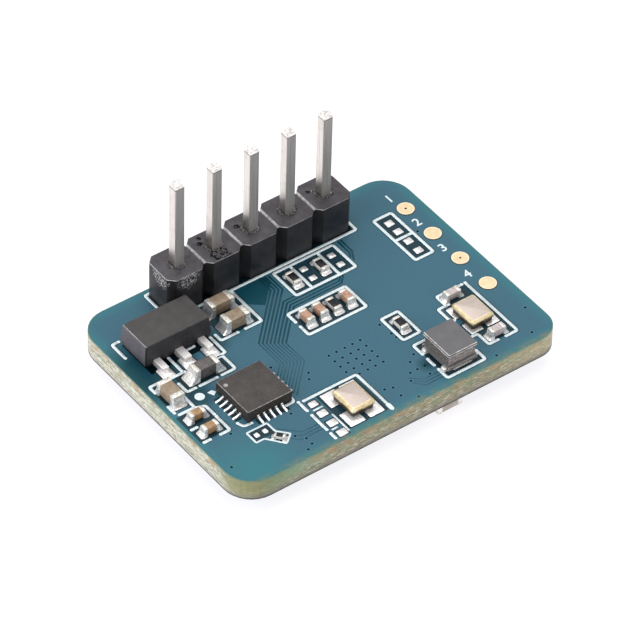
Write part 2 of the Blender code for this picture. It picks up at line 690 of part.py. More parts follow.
def antenna_rim():
    """A rectangular patch whose feed line enters from the front between two slots."""
    half, feed = PATCH_WIDTH / 2, FEED_WIDTH / 2
    front, back = -PATCH_HEIGHT / 2, PATCH_HEIGHT / 2
    slot = feed + FEED_SLOT
    right = [(feed, front - FEED_REACH), (feed, front + FEED_INSET), (slot, front + FEED_INSET)]
    right += [(slot, front), (half, front), (half, back)]
    return right + [(-x, y) for x, y in reversed(right)]


def make_antennas(chip_y):
    """The transmitting and the receiving patch, midway between the radar chip and the solder joints."""
    mesh = flat_mesh("antenna", [antenna_rim()], PATCH_THICKNESS)
    y = (chip_y + RADAR_CHIP_SIDE / 2 + HEADER_Y - SOLDER_RADIUS) / 2
    for name, side in (("transmitting_antenna", -1), ("receiving_antenna", 1)):
        patch = add_object(name, mesh, MASKED_COPPER)
        patch.location = (side * ANTENNA_SPACING / 2, y, UNDERSIDE - SEAT_GAP - PATCH_THICKNESS)


def make_power_chips(regulator_x, regulator_y):
    """The chips round the regulator. Returns the y of the bead, which the controller lines up with."""
    column_x = regulator_x + REGULATOR_LENGTH / 2 + BESIDE_REGULATOR + CHIP_0603_LENGTH / 2
    row_y = HEADER_FRONT - FIRST_CAPACITOR_TO_HEADER - CHIP_0603_WIDTH / 2
    row_pitch = CHIP_0603_WIDTH + CAPACITOR_ROW_GAP
    chip_0603("regulator_capacitor_1", column_x, row_y, TAN_CERAMIC)
    chip_0603("regulator_capacitor_2", column_x, row_y - row_pitch, TAN_CERAMIC)
    lead_tip = regulator_y - REGULATOR_DEPTH / 2 - LEAD_REACH
    bead_y = lead_tip - BEAD_BELOW_LEADS - CHIP_0603_WIDTH / 2
    edge_x, edge_y = LEFT + EDGE_CAPACITOR_SETBACK, bead_y - EDGE_CAPACITOR_BELOW_BEAD
    chip_0603("edge_capacitor", edge_x, edge_y, TAN_CERAMIC, math.pi / 2)
    bead_x = edge_x + (CHIP_0603_WIDTH + CHIP_0603_LENGTH) / 2 + BEAD_TO_EDGE_CAPACITOR
    chip_0603("ferrite_bead", bead_x, bead_y, DARK_CERAMIC)
    return bead_y


def make_controller_group(bead_y):
    """The controller with its two small capacitors, its resistor and its crystal."""
    half = CONTROLLER_SIDE / 2
    x = LEFT + CONTROLLER_SETBACK + half
    y = bead_y - CHIP_0603_WIDTH / 2 - CONTROLLER_BELOW_BEAD - half
    make_leadless_package("controller", x, y, CONTROLLER_SIDE, CONTROLLER_HEIGHT)
    decoupling_x = x - half - DECOUPLING_GAP - CHIP_0402_LENGTH / 2
    for index in range(2):
        chip_y = y + DECOUPLING_OFFSET - index * DECOUPLING_PITCH
        chip_0402(f"decoupling_capacitor_{index + 1}", decoupling_x, chip_y, BROWN_CERAMIC)
    size = (CHIP_0201_LENGTH, CHIP_0201_WIDTH, CHIP_0201_HEIGHT, CHIP_0201_BAND)
    tiny = add_object("tiny_resistor", chip_mesh("tiny_resistor", *size), DARK_CERAMIC)
    place(tiny, x - TINY_RESISTOR_LEFT, y - half - TINY_RESISTOR_BELOW, TINY_RESISTOR_TURN)
    make_crystal("controller_crystal", CONTROLLER_CRYSTAL_X, FRONT + CONTROLLER_CRYSTAL_SETBACK)


def make_middle_group():
    """The resistors beside the header and the row of filter chips in front of them."""
    along_y = math.pi / 2
    resistor_y = HEADER_FRONT - HEADER_RESISTOR_GAP - CHIP_0402_LENGTH / 2
    for index in range(2):
        x, name = HEADER_RESISTOR_FIRST_X + index * HEADER_RESISTOR_SPACING, f"header_resistor_{index + 1}"
        chip_0402(name, x, resistor_y, DARK_CERAMIC, along_y, RESISTOR_0402_HEIGHT)
    filter_y = resistor_y - CHIP_0402_LENGTH - FILTER_BELOW_HEADER_RESISTORS
    names = ("filter_capacitor_1", "filter_capacitor_2", "filter_resistor", "filter_capacitor_3")
    for index, name in enumerate(names):
        resistor = name == "filter_resistor"
        material = DARK_CERAMIC if resistor else BROWN_CERAMIC
        height = RESISTOR_0402_HEIGHT if resistor else CHIP_0402_HEIGHT
        chip_0402(name, FILTER_FIRST_X + index * FILTER_PITCH, filter_y, material, along_y, height)


def make_right_group():
    """The power inductor with its resistor, and the radar's crystal between two small capacitors."""
    inductor_x, inductor_y = make_inductor()
    resistor_y = inductor_y + INDUCTOR_LENGTH / 2 + FEEDBACK_ABOVE_INDUCTOR + CHIP_0402_LENGTH / 2
    resistor_x = inductor_x - FEEDBACK_LEFT_OF_INDUCTOR
    chip_0402("feedback_resistor", resistor_x, resistor_y, DARK_CERAMIC, math.pi / 2, RESISTOR_0402_HEIGHT)
    crystal_x = RIGHT - RADAR_CRYSTAL_FROM_RIGHT
    crystal_y = FRONT + RADAR_CRYSTAL_SETBACK
    make_crystal("radar_crystal", crystal_x, crystal_y)
    reach = CRYSTAL_LENGTH / 2 + CRYSTAL_CAPACITOR_GAP + CHIP_0402_WIDTH / 2
    chip_0402("crystal_capacitor_1", crystal_x, crystal_y + reach, PALE_CERAMIC)
    chip_0402("crystal_capacitor_2", crystal_x + LOWER_CAPACITOR_RIGHT, crystal_y - reach, PALE_CERAMIC)


def make_underside():
    """The radar chip with its antennas and chips, and the light sensor at the front edge."""
    chip_x, chip_y = RADAR_CHIP_X, FRONT + RADAR_CHIP_SETBACK
    make_leadless_package("radar_chip", chip_x, chip_y, RADAR_CHIP_SIDE, RADAR_CHIP_HEIGHT, underside=True)
    make_antennas(chip_y)
    reach = RADAR_CHIP_SIDE / 2 + RADAR_PASSIVE_GAP + CHIP_0402_WIDTH / 2
    corners = ((-1, 1), (-1, -1), (1, 1), (1, -1))
    for number, (side, end) in enumerate(corners, start=1):
        x, y = chip_x + side * reach, chip_y + end * RADAR_CAPACITOR_PITCH / 2
        chip_0402(f"radar_capacitor_{number}", x, y, BROWN_CERAMIC, math.pi / 2, underside=True)
    for number, side in enumerate((-1, 1), start=1):
        x, y = chip_x + side * RADAR_RESISTOR_PITCH / 2, chip_y - reach
        chip_0402(f"radar_resistor_{number}", x, y, DARK_CERAMIC, 0.0, RESISTOR_0402_HEIGHT, underside=True)
    sensor = chip_mesh("light_sensor", SENSOR_LENGTH, SENSOR_WIDTH, SENSOR_HEIGHT, SENSOR_BAND)
    sensor_y = FRONT + SENSOR_SETBACK + SENSOR_WIDTH / 2
    place(add_object("light_sensor", sensor, PALE_CERAMIC), SENSOR_X, sensor_y, underside=True)


make_board()
make_header_strip()
make_header_pins()
make_solder_joints()
make_controller_group(make_power_chips(*make_regulator()))
make_middle_group()
make_right_group()
make_test_pads()
make_underside()
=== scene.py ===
# %% [markdown]
# # A microwave radar sensor module
# The object is a populated circuit board, 22 by 16 mm, with a five-pin header. Its solids come
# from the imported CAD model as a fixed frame. This file dresses them: it gives each one a finish,
# trades some for finer pieces, and adds what is too thin for the solids, such as ink and solder.

# %% Load the frame
import math
from functools import reduce

import bmesh
import bpy
from mathutils import Matrix, Vector


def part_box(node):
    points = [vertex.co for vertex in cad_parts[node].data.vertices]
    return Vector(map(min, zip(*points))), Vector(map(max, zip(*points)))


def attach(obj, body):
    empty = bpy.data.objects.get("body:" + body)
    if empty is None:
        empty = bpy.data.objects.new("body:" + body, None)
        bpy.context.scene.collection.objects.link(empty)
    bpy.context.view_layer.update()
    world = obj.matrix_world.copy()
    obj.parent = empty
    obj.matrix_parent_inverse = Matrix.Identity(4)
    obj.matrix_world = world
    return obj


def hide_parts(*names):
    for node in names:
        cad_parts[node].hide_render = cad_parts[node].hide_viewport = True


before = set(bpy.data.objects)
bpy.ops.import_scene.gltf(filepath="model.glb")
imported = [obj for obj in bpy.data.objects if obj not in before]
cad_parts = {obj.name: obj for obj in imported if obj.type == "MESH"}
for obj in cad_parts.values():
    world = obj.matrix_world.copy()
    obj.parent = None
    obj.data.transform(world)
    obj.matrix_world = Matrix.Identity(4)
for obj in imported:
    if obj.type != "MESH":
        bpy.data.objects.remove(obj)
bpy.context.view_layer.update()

MM = 0.001

# %% [markdown]
# ## Where the faces of the board are
# Every piece stands on the board or hangs under it, so its two faces are measured once, from the
# node itself. A real board has a green or blue lacquer over its copper, the solder mask, and white
# ink on that. Both are hundredths of a millimetre thick, and each gets its own level here so
# that no two sheets lie in the same plane, because such sheets would flicker black.

# %% The levels on the board
BOARD_LOW, BOARD_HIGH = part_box("board")
TOP, UNDER = BOARD_HIGH.z, BOARD_LOW.z
HALF_LENGTH, HALF_WIDTH = BOARD_HIGH.x, BOARD_HIGH.y
MASK_FILM = 0.01 * MM
MASK_SETBACK = 0.04 * MM
FILM_TOP, FILM_UNDER = TOP + MASK_FILM, UNDER - MASK_FILM
SHEET = 0.0005 * MM
TRACE_RISE = 0.002 * MM
INK_RISE = 0.005 * MM


def middle_of(node):
    """The middle of a node on the board, in millimetres, and its size."""
    low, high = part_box(node)
    return (low.x + high.x) / 2 / MM, (low.y + high.y) / 2 / MM, [(b - a) / MM for a, b in zip(low, high)]


print("board from", round(UNDER / MM, 3), "to", round(TOP / MM, 3), "mm, films at",
      round(FILM_UNDER / MM, 3), "and", round(FILM_TOP / MM, 3), "mm")

# %% [markdown]
# ## The camera
# The photograph was taken from the front left, a little above half way up, with a long lens. The
# angles, the distance and the lens were worked out from the board's corners and the header's pins.
# A camera's matrix is built from three directions, right, up and back, so the angles go straight in
# and no constraint or tracking is needed.

# %% Place the camera
AZIMUTH, ELEVATION, ROLL = (math.radians(angle) for angle in (-37.797, 43.347, 1.711))
EYE_OFFSET = Vector((0.036, 0.339, 283.262)) * MM
FOCAL_PIXELS, FRAME_PIXELS, SENSOR = 5089.0, 640.0, 36.0

back = Vector((math.sin(AZIMUTH) * math.cos(ELEVATION), -math.cos(AZIMUTH) * math.cos(ELEVATION),
               math.sin(ELEVATION)))
level_right = Vector((math.cos(AZIMUTH), math.sin(AZIMUTH), 0.0))
level_up = back.cross(level_right)
right = math.cos(ROLL) * level_right + math.sin(ROLL) * level_up
up = math.cos(ROLL) * level_up - math.sin(ROLL) * level_right
turn = Matrix((right, up, back)).transposed()

camera = bpy.data.objects.new("camera", bpy.data.cameras.new("camera"))
bpy.context.scene.collection.objects.link(camera)
camera.data.sensor_width = SENSOR
camera.data.lens = FOCAL_PIXELS * SENSOR / FRAME_PIXELS
camera.data.clip_start, camera.data.clip_end = 0.01, 10.0
camera.data.dof.use_dof = False
camera.matrix_world = Matrix.Translation(turn @ EYE_OFFSET + Vector((0, 0, TOP))) @ turn.to_4x4()
bpy.context.scene.camera = camera
print("camera at", [round(value / MM, 1) for value in camera.location], "mm, lens",
      round(camera.data.lens, 1), "mm")

# %% [markdown]
# ## The light
# The photograph has a white ground and hardly a shadow: a tent of soft light. The pins tell more.
# Their left faces are nearly white and their front faces grey, so the brightest sheet of light stood
# on the left and the front right was darker. Area lights are used because their size sets how soft
# a shadow is, and metal shows them as clean shapes. The world adds an even fill.

# %% Light the scene
def soft_light(name, place, size, power):
    """An area light that faces the middle of the board."""
    lamp = bpy.data.lights.new(name, "AREA")
    lamp.shape, lamp.size, lamp.energy = "SQUARE", size, power
    holder = bpy.data.objects.new(name, lamp)
    bpy.context.scene.collection.objects.link(holder)
    holder.location = place
    holder.rotation_euler = Vector(place).to_track_quat("Z", "Y").to_euler()


soft_light("left_sheet", (-0.34, 0.02, 0.2), 0.34, 1.0)
soft_light("overhead_sheet", (0.04, 0.1, 0.42), 0.4, 1.0)
soft_light("front_sheet", (0.1, -0.36, 0.22), 0.24, 0.3)

FILL_COLOUR, FILL_STRENGTH = (1.0, 0.985, 0.965, 1.0), 0.62
world = bpy.data.worlds.new("studio")
world.use_nodes = True
world.node_tree.nodes["Background"].inputs["Color"].default_value = FILL_COLOUR
world.node_tree.nodes["Background"].inputs["Strength"].default_value = FILL_STRENGTH
bpy.context.scene.world = world
bpy.context.scene.view_settings.view_transform = "Standard"
bpy.context.scene.view_settings.look = "None"

# %% [markdown]
# ## Building a material from nodes
# A Principled shader covers every finish here, and what makes each one look real is how its colour,
# roughness and bump change over the surface. Writing node trees by hand is wordy, so one helper adds
# a node and fills its inputs in the same line, and a few more name the nodes that come up most.
# Nearly every finish is built up the same way: a base colour, and over it one thin layer after
# another, each with a mask that says where it lies.

# %% The node helpers
def feed(socket, value):
    """Joins another node's output to a socket, or sets the socket to a plain value."""
    if isinstance(value, bpy.types.NodeSocket):
        socket.id_data.links.new(value, socket)
    else:
        socket.default_value = (*value, 1.0) if socket.type == "RGBA" else value


def wire(tree, kind, inputs=None, **settings):
    """Adds a node, sets it up and feeds its inputs. Returns its outputs."""
    node = tree.nodes.new(kind)
    for name, value in settings.items():
        setattr(node, name, value)
    for key, value in (inputs or {}).items():
        feed(node.inputs[key], value)
    return node.outputs


def maths(operation, *values, clamp=False):
    """The result of a Math node. Its first value is an output, which knows its own tree."""
    inputs, tree = dict(enumerate(values)), values[0].id_data
    return wire(tree, "ShaderNodeMath", inputs, operation=operation, use_clamp=clamp)[0]


def times(*values):
    """The product of masks: it is 1 only where all of them are."""
    return reduce(lambda first, second: maths("MULTIPLY", first, second), values)


def larger(*values):
    """The largest of some masks: it is 1 where any of them is."""
    return reduce(lambda first, second: maths("MAXIMUM", first, second), values)


def vectors(operation, first, second):
    """The result of a Vector Math node, which is a number for a distance."""
    inputs = {0: first, "Scale" if operation == "SCALE" else 1: second}
    made = wire(first.id_data, "ShaderNodeVectorMath", inputs, operation=operation)
    return made["Value" if operation == "DISTANCE" else "Vector"]


def mix(share, first, second):
    """A colour between two others."""
    return wire(share.id_data, "ShaderNodeMix", {0: share, 6: first, 7: second}, data_type="RGBA")[2]


def layers(base, *sheets):
    """A colour with others laid over it. A sheet is a mask and a colour."""
    return reduce(lambda under, sheet: mix(sheet[0], under, sheet[1]), sheets, base)


def spread(value, low, high, from_low=0.0, from_high=1.0):
    """A value moved to the range from low to high out of another range, and held inside it."""
    ranges = {0: value, 1: from_low, 2: from_high, 3: low, 4: high}
    return wire(value.id_data, "ShaderNodeMapRange", ranges)[0]


def ramp(value, start, end, share=1.0):
    """A mask that is 0 where a value passes start and rises to share where it passes end."""
    return spread(value, 0.0, share, start, end)


def axes(vector):
    """The X, Y and Z of a vector."""
    return wire(vector.id_data, "ShaderNodeSeparateXYZ", {0: vector})


def object_point(tree):
    """The point of the surface in the object's own space, in metres."""
    return wire(tree, "ShaderNodeTexCoord")["Object"]


def facing(tree, kind="Normal"):
    """Which way the surface looks, as X, Y and Z."""
    return axes(wire(tree, "ShaderNodeNewGeometry")[kind])


def near(tree, point, inner, outer, share=1.0):
    """A mask with a share up to one distance from a point and 0 beyond another, in millimetres."""
    gap = vectors("DISTANCE", object_point(tree), [value * MM for value in point])
    return ramp(gap, outer * MM, inner * MM, share)


def new_finish(name, roughness=0.5, metallic=0.0, **sockets):
    """A Principled material. Values that are the same all over go straight on the shader."""
    material = bpy.data.materials.new(name)
    material.use_nodes = True
    tree, shader = material.node_tree, material.node_tree.nodes["Principled BSDF"].inputs
    for socket, value in dict(Roughness=roughness, Metallic=metallic, **sockets).items():
        feed(shader[socket.replace("_", " ")], value)
    return tree, shader, material


def new_group(name, inputs, outputs):
    """A node group with named sockets. Returns it with what comes in and what goes out."""
    group = bpy.data.node_groups.new(name, "ShaderNodeTree")
    for sockets, way in ((inputs, "INPUT"), (outputs, "OUTPUT")):
        for socket, kind in sockets.items():
            group.interface.new_socket(socket, in_out=way, socket_type="NodeSocket" + kind)
    return group, group.nodes.new("NodeGroupInput").outputs, group.nodes.new("NodeGroupOutput").inputs


def paint(tree, shader, base, roughness=None, height=None, depth=0.0):
    """Feeds the shader a colour, a roughness that changes, and a bump of a depth in millimetres."""
    feed(shader["Base Color"], base)
    if roughness is not None:
        feed(shader["Roughness"], roughness)
    if height is not None:
        bump = wire(tree, "ShaderNodeBump", {"Height": height, "Strength": 1.0, "Distance": depth * MM})
        feed(shader["Normal"], bump["Normal"])


print("helpers ready")

# %% [markdown]
# ## Grain and streaks
# Two effects turn up in nearly every finish. Grain is noise that is the same in every direction:
# the mottle of moulded plastic, ceramic and lacquer. Streaks are noise drawn out along one
# direction: glass fibres in a sawn edge, drawing marks on a pin. One node group makes both, because
# its size is given in millimetres for each axis.

# %% The grain group
GRAIN, entry, leave = new_group("grain", {"Size": "Vector", "Sharpness": "Float", "Detail": "Float"},
                                {"Value": "Float"})
in_millimetres = vectors("MULTIPLY", object_point(GRAIN), (1.0 / MM,) * 3)
drawn = vectors("DIVIDE", in_millimetres, entry["Size"])
noise = wire(GRAIN, "ShaderNodeTexNoise", {"Vector": drawn, "Scale": 1.0, "Detail": entry["Detail"]})
steep = times(maths("SUBTRACT", noise["Fac"], 0.5), entry["Sharpness"])
feed(leave["Value"], maths("ADD", steep, 0.5, clamp=True))
print("grain group:", len(GRAIN.nodes), "nodes")


def grain(tree, size, sharpness=1.0, detail=3.0):
    """Grain from 0 to 1, its size in millimetres. Three sizes make streaks along the longest."""
    inputs = {"Size": size if isinstance(size, tuple) else (size,) * 3, "Sharpness": sharpness,
              "Detail": detail}
    return wire(tree, "ShaderNodeGroup", inputs, node_tree=GRAIN)["Value"]


# %% [markdown]
# ## The solder mask
# The mask is a clear teal lacquer, so its colour depends on what is under it: lighter over copper,
# deeper over bare laminate, and greener towards the rim, where light comes in through the edge of
# the board. The base colour and how green the rim is come in as inputs, because the board, the
# traces, the clear strips and the antennas all wear the same lacquer. Clear lacquer mirrors the
# white room, so the two deepest shades have next to no coat and no gloss.

# %% The lacquer group
GLOWING_CORNER = (-9.6, -7.0, TOP / MM)
# Spots of deeper lacquer: cleared copper beside the regulator and round the fiducial, and painted shade in
# the last one, left of the inductor.
DEEP_SPOTS = ((-10.0, 2.4, 1.3, 3.2), (-8.8, -0.6, 0.4, 1.3), (-5.6, 2.4, 0.3, 1.2), (3.0, -5.9, 0.05, 0.7))
tree, entry, leave = new_group("lacquer", {"Base": "Color", "Rim": "Color", "Rim Share": "Float"},
                               {"Colour": "Color", "Roughness": "Float", "Height": "Float"})
LACQUER, point = tree, axes(object_point(tree))
from_rim = [ramp(maths("ABSOLUTE", point[axis]), half, 0.0, half / MM)
            for axis, half in (("X", HALF_LENGTH), ("Y", HALF_WIDTH))]
rim = ramp(maths("SMOOTH_MIN", *from_rim, 0.6), 0.75, 0.1, 0.55)
mottle = grain(tree, 1.6, 1.6, 4.0)
# Painted light: the lacquer turns greener towards the rim and round the front left corner, a painted glow of
# light coming in through the edge of the board.
green = times(larger(rim, near(tree, GLOWING_CORNER, 0.4, 3.2, 0.75)),
              spread(mottle, 0.7, 1.1), entry["Rim Share"])
tinted = mix(green, entry["Base"], entry["Rim"])
deeper = [near(tree, (x, y, TOP / MM), inner, outer) for x, y, inner, outer in DEEP_SPOTS]
on_top = ramp(point["Z"], UNDER, TOP)
front = ramp(point["Y"], -HALF_WIDTH + 0.45 * MM, -HALF_WIDTH, 0.8)
fringe = mix(grain(tree, 0.8, 3.0), (0.09, 0.2, 0.12), (0.26, 0.17, 0.08))
tinted = layers(tinted,
                (times(larger(*deeper), on_top),
                 vectors("MULTIPLY", tinted, (0.12, 0.36, 0.37))),
                (times(front, grain(tree, 0.45, 2.5)), fringe))
shade = spread(grain(tree, 0.09, 1.2, 2.0), 0.88, 1.12)
feed(leave["Colour"], vectors("SCALE", tinted, shade))
feed(leave["Roughness"], spread(mottle, 0.26, 0.4))
feed(leave["Height"], grain(tree, 0.35))
print("lacquer group:", len(LACQUER.nodes), "nodes")


# %% The lacquer finishes
def lacquer_finish(name, base, rim_tint, rim_share=1.0, gloss=0.15, coat=0.1):
    """Mask over one kind of ground."""
    tree, shader, material = new_finish(name, Specular_IOR_Level=gloss, Coat_Weight=coat, Coat_Roughness=0.12)
    inputs = {"Base": base, "Rim": rim_tint, "Rim Share": rim_share}
    made = wire(tree, "ShaderNodeGroup", inputs, node_tree=LACQUER)
    paint(tree, shader, made["Colour"], made["Roughness"], made["Height"], 0.004)
    return material


MASK_ON_COPPER = lacquer_finish("mask_on_copper", (0.043, 0.124, 0.174), (0.03, 0.186, 0.206))
MASK_ON_LAMINATE = lacquer_finish("mask_on_laminate", (0.005, 0.052, 0.077), (0.03, 0.15, 0.16))
MASK_ON_TRACE = lacquer_finish("mask_on_trace", (0.06, 0.155, 0.2), (0.04, 0.2, 0.22))
MASK_ON_GAP = lacquer_finish("mask_on_gap", (0.03, 0.1, 0.142), (0.03, 0.15, 0.16))
MASK_IN_FRAMES = lacquer_finish("mask_in_frames", (0.01, 0.036, 0.052), (0.012, 0.06, 0.075))
MASK_IN_SHADE = lacquer_finish("mask_in_shade", (0.006, 0.022, 0.034), (0.006, 0.024, 0.036))
DEEP_SHADE = lacquer_finish("mask_in_deep_shade", (0.004, 0.01, 0.015), (0.004, 0.012, 0.018), 0.0,
                            0.02, 0.02)
VIA_HOLE = lacquer_finish("via_hole", (0.004, 0.016, 0.034), (0.004, 0.018, 0.036), 0.0, 0.02, 0.02)
ANTENNA = lacquer_finish("mask_on_antenna", (0.075, 0.215, 0.28), (0.075, 0.23, 0.29), 0.3)
print("lacquers made")

# %% [markdown]
# ## The sawn edge of the board
# Glass-epoxy laminate shows its layers where it is cut: cream and olive resin, bright bundles of
# glass running along the edge, and warm and green patches. Streaks are used at three scales, coarse
# for the bundles, fine for single fibres and crumbs. All are long in X and Y and thin in Z. The
# left end is whiter, partly glass cut across the bundles and partly painted light from the left, so
# the face's normal tells it from the sides. A green glow round the front left corner is painted
# light. The lowest half millimetre is painted darker as shade under the board, and the very bottom
# is darkest, partly a dark lip where the copper begins and partly painted shadow. The highest
# hundredths are darker and greener, where the mask begins.

# %% The laminate
YELLOWER_CORNER_SPOT = (-10.7, -7.2, TOP / MM - 0.5)
tree, shader, LAMINATE = new_finish("laminate", 0.55)
point, face = axes(object_point(tree)), facing(tree)
x, z = point["X"], point["Z"]
bundles, fibres = grain(tree, (3.0, 3.0, 0.1), 2.2), grain(tree, (0.45, 0.45, 0.05), 4.0)
flecks, patches = grain(tree, (0.3, 0.3, 0.05), 4.0), grain(tree, (0.8, 0.8, 0.5), 2.4)
crumbs = grain(tree, 0.07, 3.0, 2.0)
middle = times(spread(z, 0.15, 1.0, UNDER + 0.3 * MM, TOP - 0.4 * MM),
               spread(face["X"], 0.55, 1.0, -0.9, -0.4))
far_right = times(ramp(x, 5.0 * MM, 11.0 * MM, 0.45), ramp(face["Y"], -0.1, -0.6))
rust = times(ramp(patches, 0.5, 0.8, 0.75), ramp(z, TOP - 0.55 * MM, TOP - 0.15 * MM))
# Painted light: a green glow on the sawn edge round the front left corner, as of light coming in through the
# board.
painted_corner_glow = times(near(tree, GLOWING_CORNER, 2.0, 5.0, 0.75), ramp(face["X"], -0.4, 0.0), middle)
shaded_bottom = times(ramp(z, UNDER + 0.5 * MM, UNDER + 0.05 * MM, 0.9), spread(face["X"], 0.4, 1.0, -0.9, -0.4))
# Partly painted light: the left end, which faces the left light, is painted much whiter than the sides.
lit_left_end = layers(mix(bundles, (0.245, 0.25, 0.175), (0.87, 0.9, 0.8)),
                  (ramp(flecks, 0.42, 0.12, 0.75), (0.12, 0.125, 0.07)),
                  (ramp(flecks, 0.66, 0.92, 0.7), (0.95, 0.95, 0.88)))
resin = layers(mix(bundles, (0.146, 0.147, 0.086), (0.31, 0.298, 0.18)),
               (ramp(face["X"], -0.4, -0.9), lit_left_end),
               (ramp(crumbs, 0.45, 0.95, 0.55), (0.4, 0.36, 0.22)),
               (ramp(crumbs, 0.4, 0.05, 0.55), (0.095, 0.09, 0.06)),
               (ramp(fibres, 0.66, 0.88, 0.6), (0.68, 0.67, 0.54)),
               (times(ramp(patches, 0.55, 0.9, 0.6), middle), (0.315, 0.2, 0.082)),
               (times(ramp(patches, 0.46, 0.15, 0.65), middle), (0.15, 0.235, 0.115)),
               (far_right, (0.56, 0.47, 0.28)),
               (rust, (0.4, 0.25, 0.125)),
               (painted_corner_glow, (0.16, 0.31, 0.19)),
               # Yellower olive tints towards the front left corner.
               (near(tree, GLOWING_CORNER, 0.7, 2.4, 0.85), (0.18, 0.195, 0.078)),
               (near(tree, YELLOWER_CORNER_SPOT, 0.3, 1.6, 0.75), (0.225, 0.228, 0.095)),
               # Painted shade: darker towards the bottom, and darkest at the very bottom, partly a dark lip
               # and partly painted shadow.
               (shaded_bottom, (0.155, 0.14, 0.13)),
               (ramp(z, UNDER + 0.15 * MM, UNDER + 0.07 * MM, 0.9), (0.055, 0.052, 0.05)),
               (ramp(z, TOP - 0.13 * MM, TOP - 0.02 * MM, 0.85), (0.09, 0.19, 0.16)))
paint(tree, shader, resin, spread(fibres, 0.62, 0.4), fibres, 0.02)
print("laminate:", len(tree.nodes), "nodes")

# %% [markdown]
# ## Metals
# Tin-plated pins, solder, gilded pads and the crystals' lids are all metals, so their colour is the
# colour of their reflections. What sets them apart is tint and roughness: solder is lumpy and a
# little grey, a pin carries drawing marks along its length, gold over nickel looks like peach, and a
# lid is satin with a warm plated flange.

# %% Solder and pad tin
def metal_finish(name, dull, bright, low, high, size, depth, specks=0.0):
    """A metal whose tint and roughness drift with the same grain, with dark specks of flux."""
    tree, shader, material = new_finish(name, metallic=0.7)
    drift = grain(tree, size, 1.5)
    dirt = ramp(grain(tree, 0.075, 3.5, 2.0), 0.62, 0.95, specks)
    tint = layers(mix(drift, dull, bright), (dirt, (0.12, 0.1, 0.08)))
    paint(tree, shader, tint, spread(drift, high, low), grain(tree, size * 0.6, 1.0, 2.0), depth)
    return material


SOLDER = metal_finish("solder", (0.7, 0.69, 0.69), (1.0, 0.99, 0.99), 0.18, 0.4, 0.26, 0.018, 0.35)
PLATED_END = metal_finish("plated_end", (0.58, 0.56, 0.51), (0.95, 0.92, 0.87), 0.28, 0.5, 0.22, 0.016, 0.45)
PAD_TIN = metal_finish("pad_tin", (0.78, 0.77, 0.78), (0.97, 0.96, 0.97), 0.26, 0.48, 0.3, 0.012, 0.35)
LEAD_TIN = metal_finish("lead_tin", (0.8, 0.78, 0.77), (1.0, 0.98, 0.98), 0.26, 0.42, 0.25, 0.006, 0.25)
TERMINAL_TIN = metal_finish("terminal_tin", (0.28, 0.26, 0.25), (0.72, 0.69, 0.66), 0.3, 0.5, 0.1, 0.014, 0.8)
# Painted highlight: a light gold ring along each test pad's edge.
RIM_HIGHLIGHT = metal_finish("painted_rim_highlight", (0.92, 0.82, 0.62), (1.0, 0.93, 0.78), 0.24, 0.36, 0.2, 0.004)
print("plain metals made")

# %% The pins
# The wire is cut from strip. Its front and back faces are painted darker and less metallic: painted
# shade on the faces turned away from the left light. The tip is bright and scratched, with a dark
# line under it, and the foot is darker in patches towards the strip.
PIN_TOP, STRIP_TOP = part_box("header_pin_1")[1].z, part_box("header_insulator")[1].z
tree, shader, PIN_METAL = new_finish("pin_metal", metallic=1.0)
height, face = axes(object_point(tree))["Z"], facing(tree, "True Normal")
drawing = grain(tree, (0.06, 0.06, 3.0), 2.2)
shaft = ramp(height, PIN_TOP - 0.26 * MM, PIN_TOP - 0.29 * MM)
# Painted shade: the faces that look along Y, front and back, are darker and less metallic.
painted_shade_sides = times(ramp(maths("ABSOLUTE", face["Y"]), 0.6, 0.8), shaft)
scratch = ramp(grain(tree, (0.2, 0.2, 0.05), 5.0), 0.5, 0.95, 0.6)
lip = maths("COMPARE", height, PIN_TOP - 0.31 * MM, 0.03 * MM)
# Darker in patches towards the strip.
foot = ramp(height, STRIP_TOP + 0.7 * MM, STRIP_TOP + 0.05 * MM, 0.5)
silver = layers(mix(drawing, (0.6, 0.565, 0.52), (0.84, 0.81, 0.765)),
                (ramp(grain(tree, 0.5, 2.0), 0.55, 0.9, 0.25), (0.46, 0.39, 0.32)),
                (painted_shade_sides, mix(drawing, (0.215, 0.206, 0.2), (0.35, 0.34, 0.332))),
                (spread(shaft, 1.0, 0.0), mix(scratch, (0.97, 0.95, 0.93), (0.46, 0.43, 0.4))),
                (spread(lip, 0.0, 0.7), (0.08, 0.07, 0.065)),
                (times(foot, grain(tree, 0.14, 3.0)), (0.1, 0.09, 0.09)))
paint(tree, shader, silver, spread(drawing, 0.42, 0.24), drawing, 0.004)
feed(shader["Metallic"], spread(painted_shade_sides, 1.0, 0.2))
print("pin metal made")

# %% Gilding and the lids
tree, shader, GILDING = new_finish("gilding", metallic=1.0)
peach = mix(grain(tree, 0.25, 1.6), (0.86, 0.61, 0.37), (0.98, 0.78, 0.53))
paint(tree, shader, peach, spread(grain(tree, 0.12, 1.5), 0.3, 0.5), grain(tree, 0.06), 0.004)

tree, shader, LID_METAL = new_finish("lid_metal", metallic=1.0)
flat_top = ramp(facing(tree)["Z"], 0.93, 0.99)
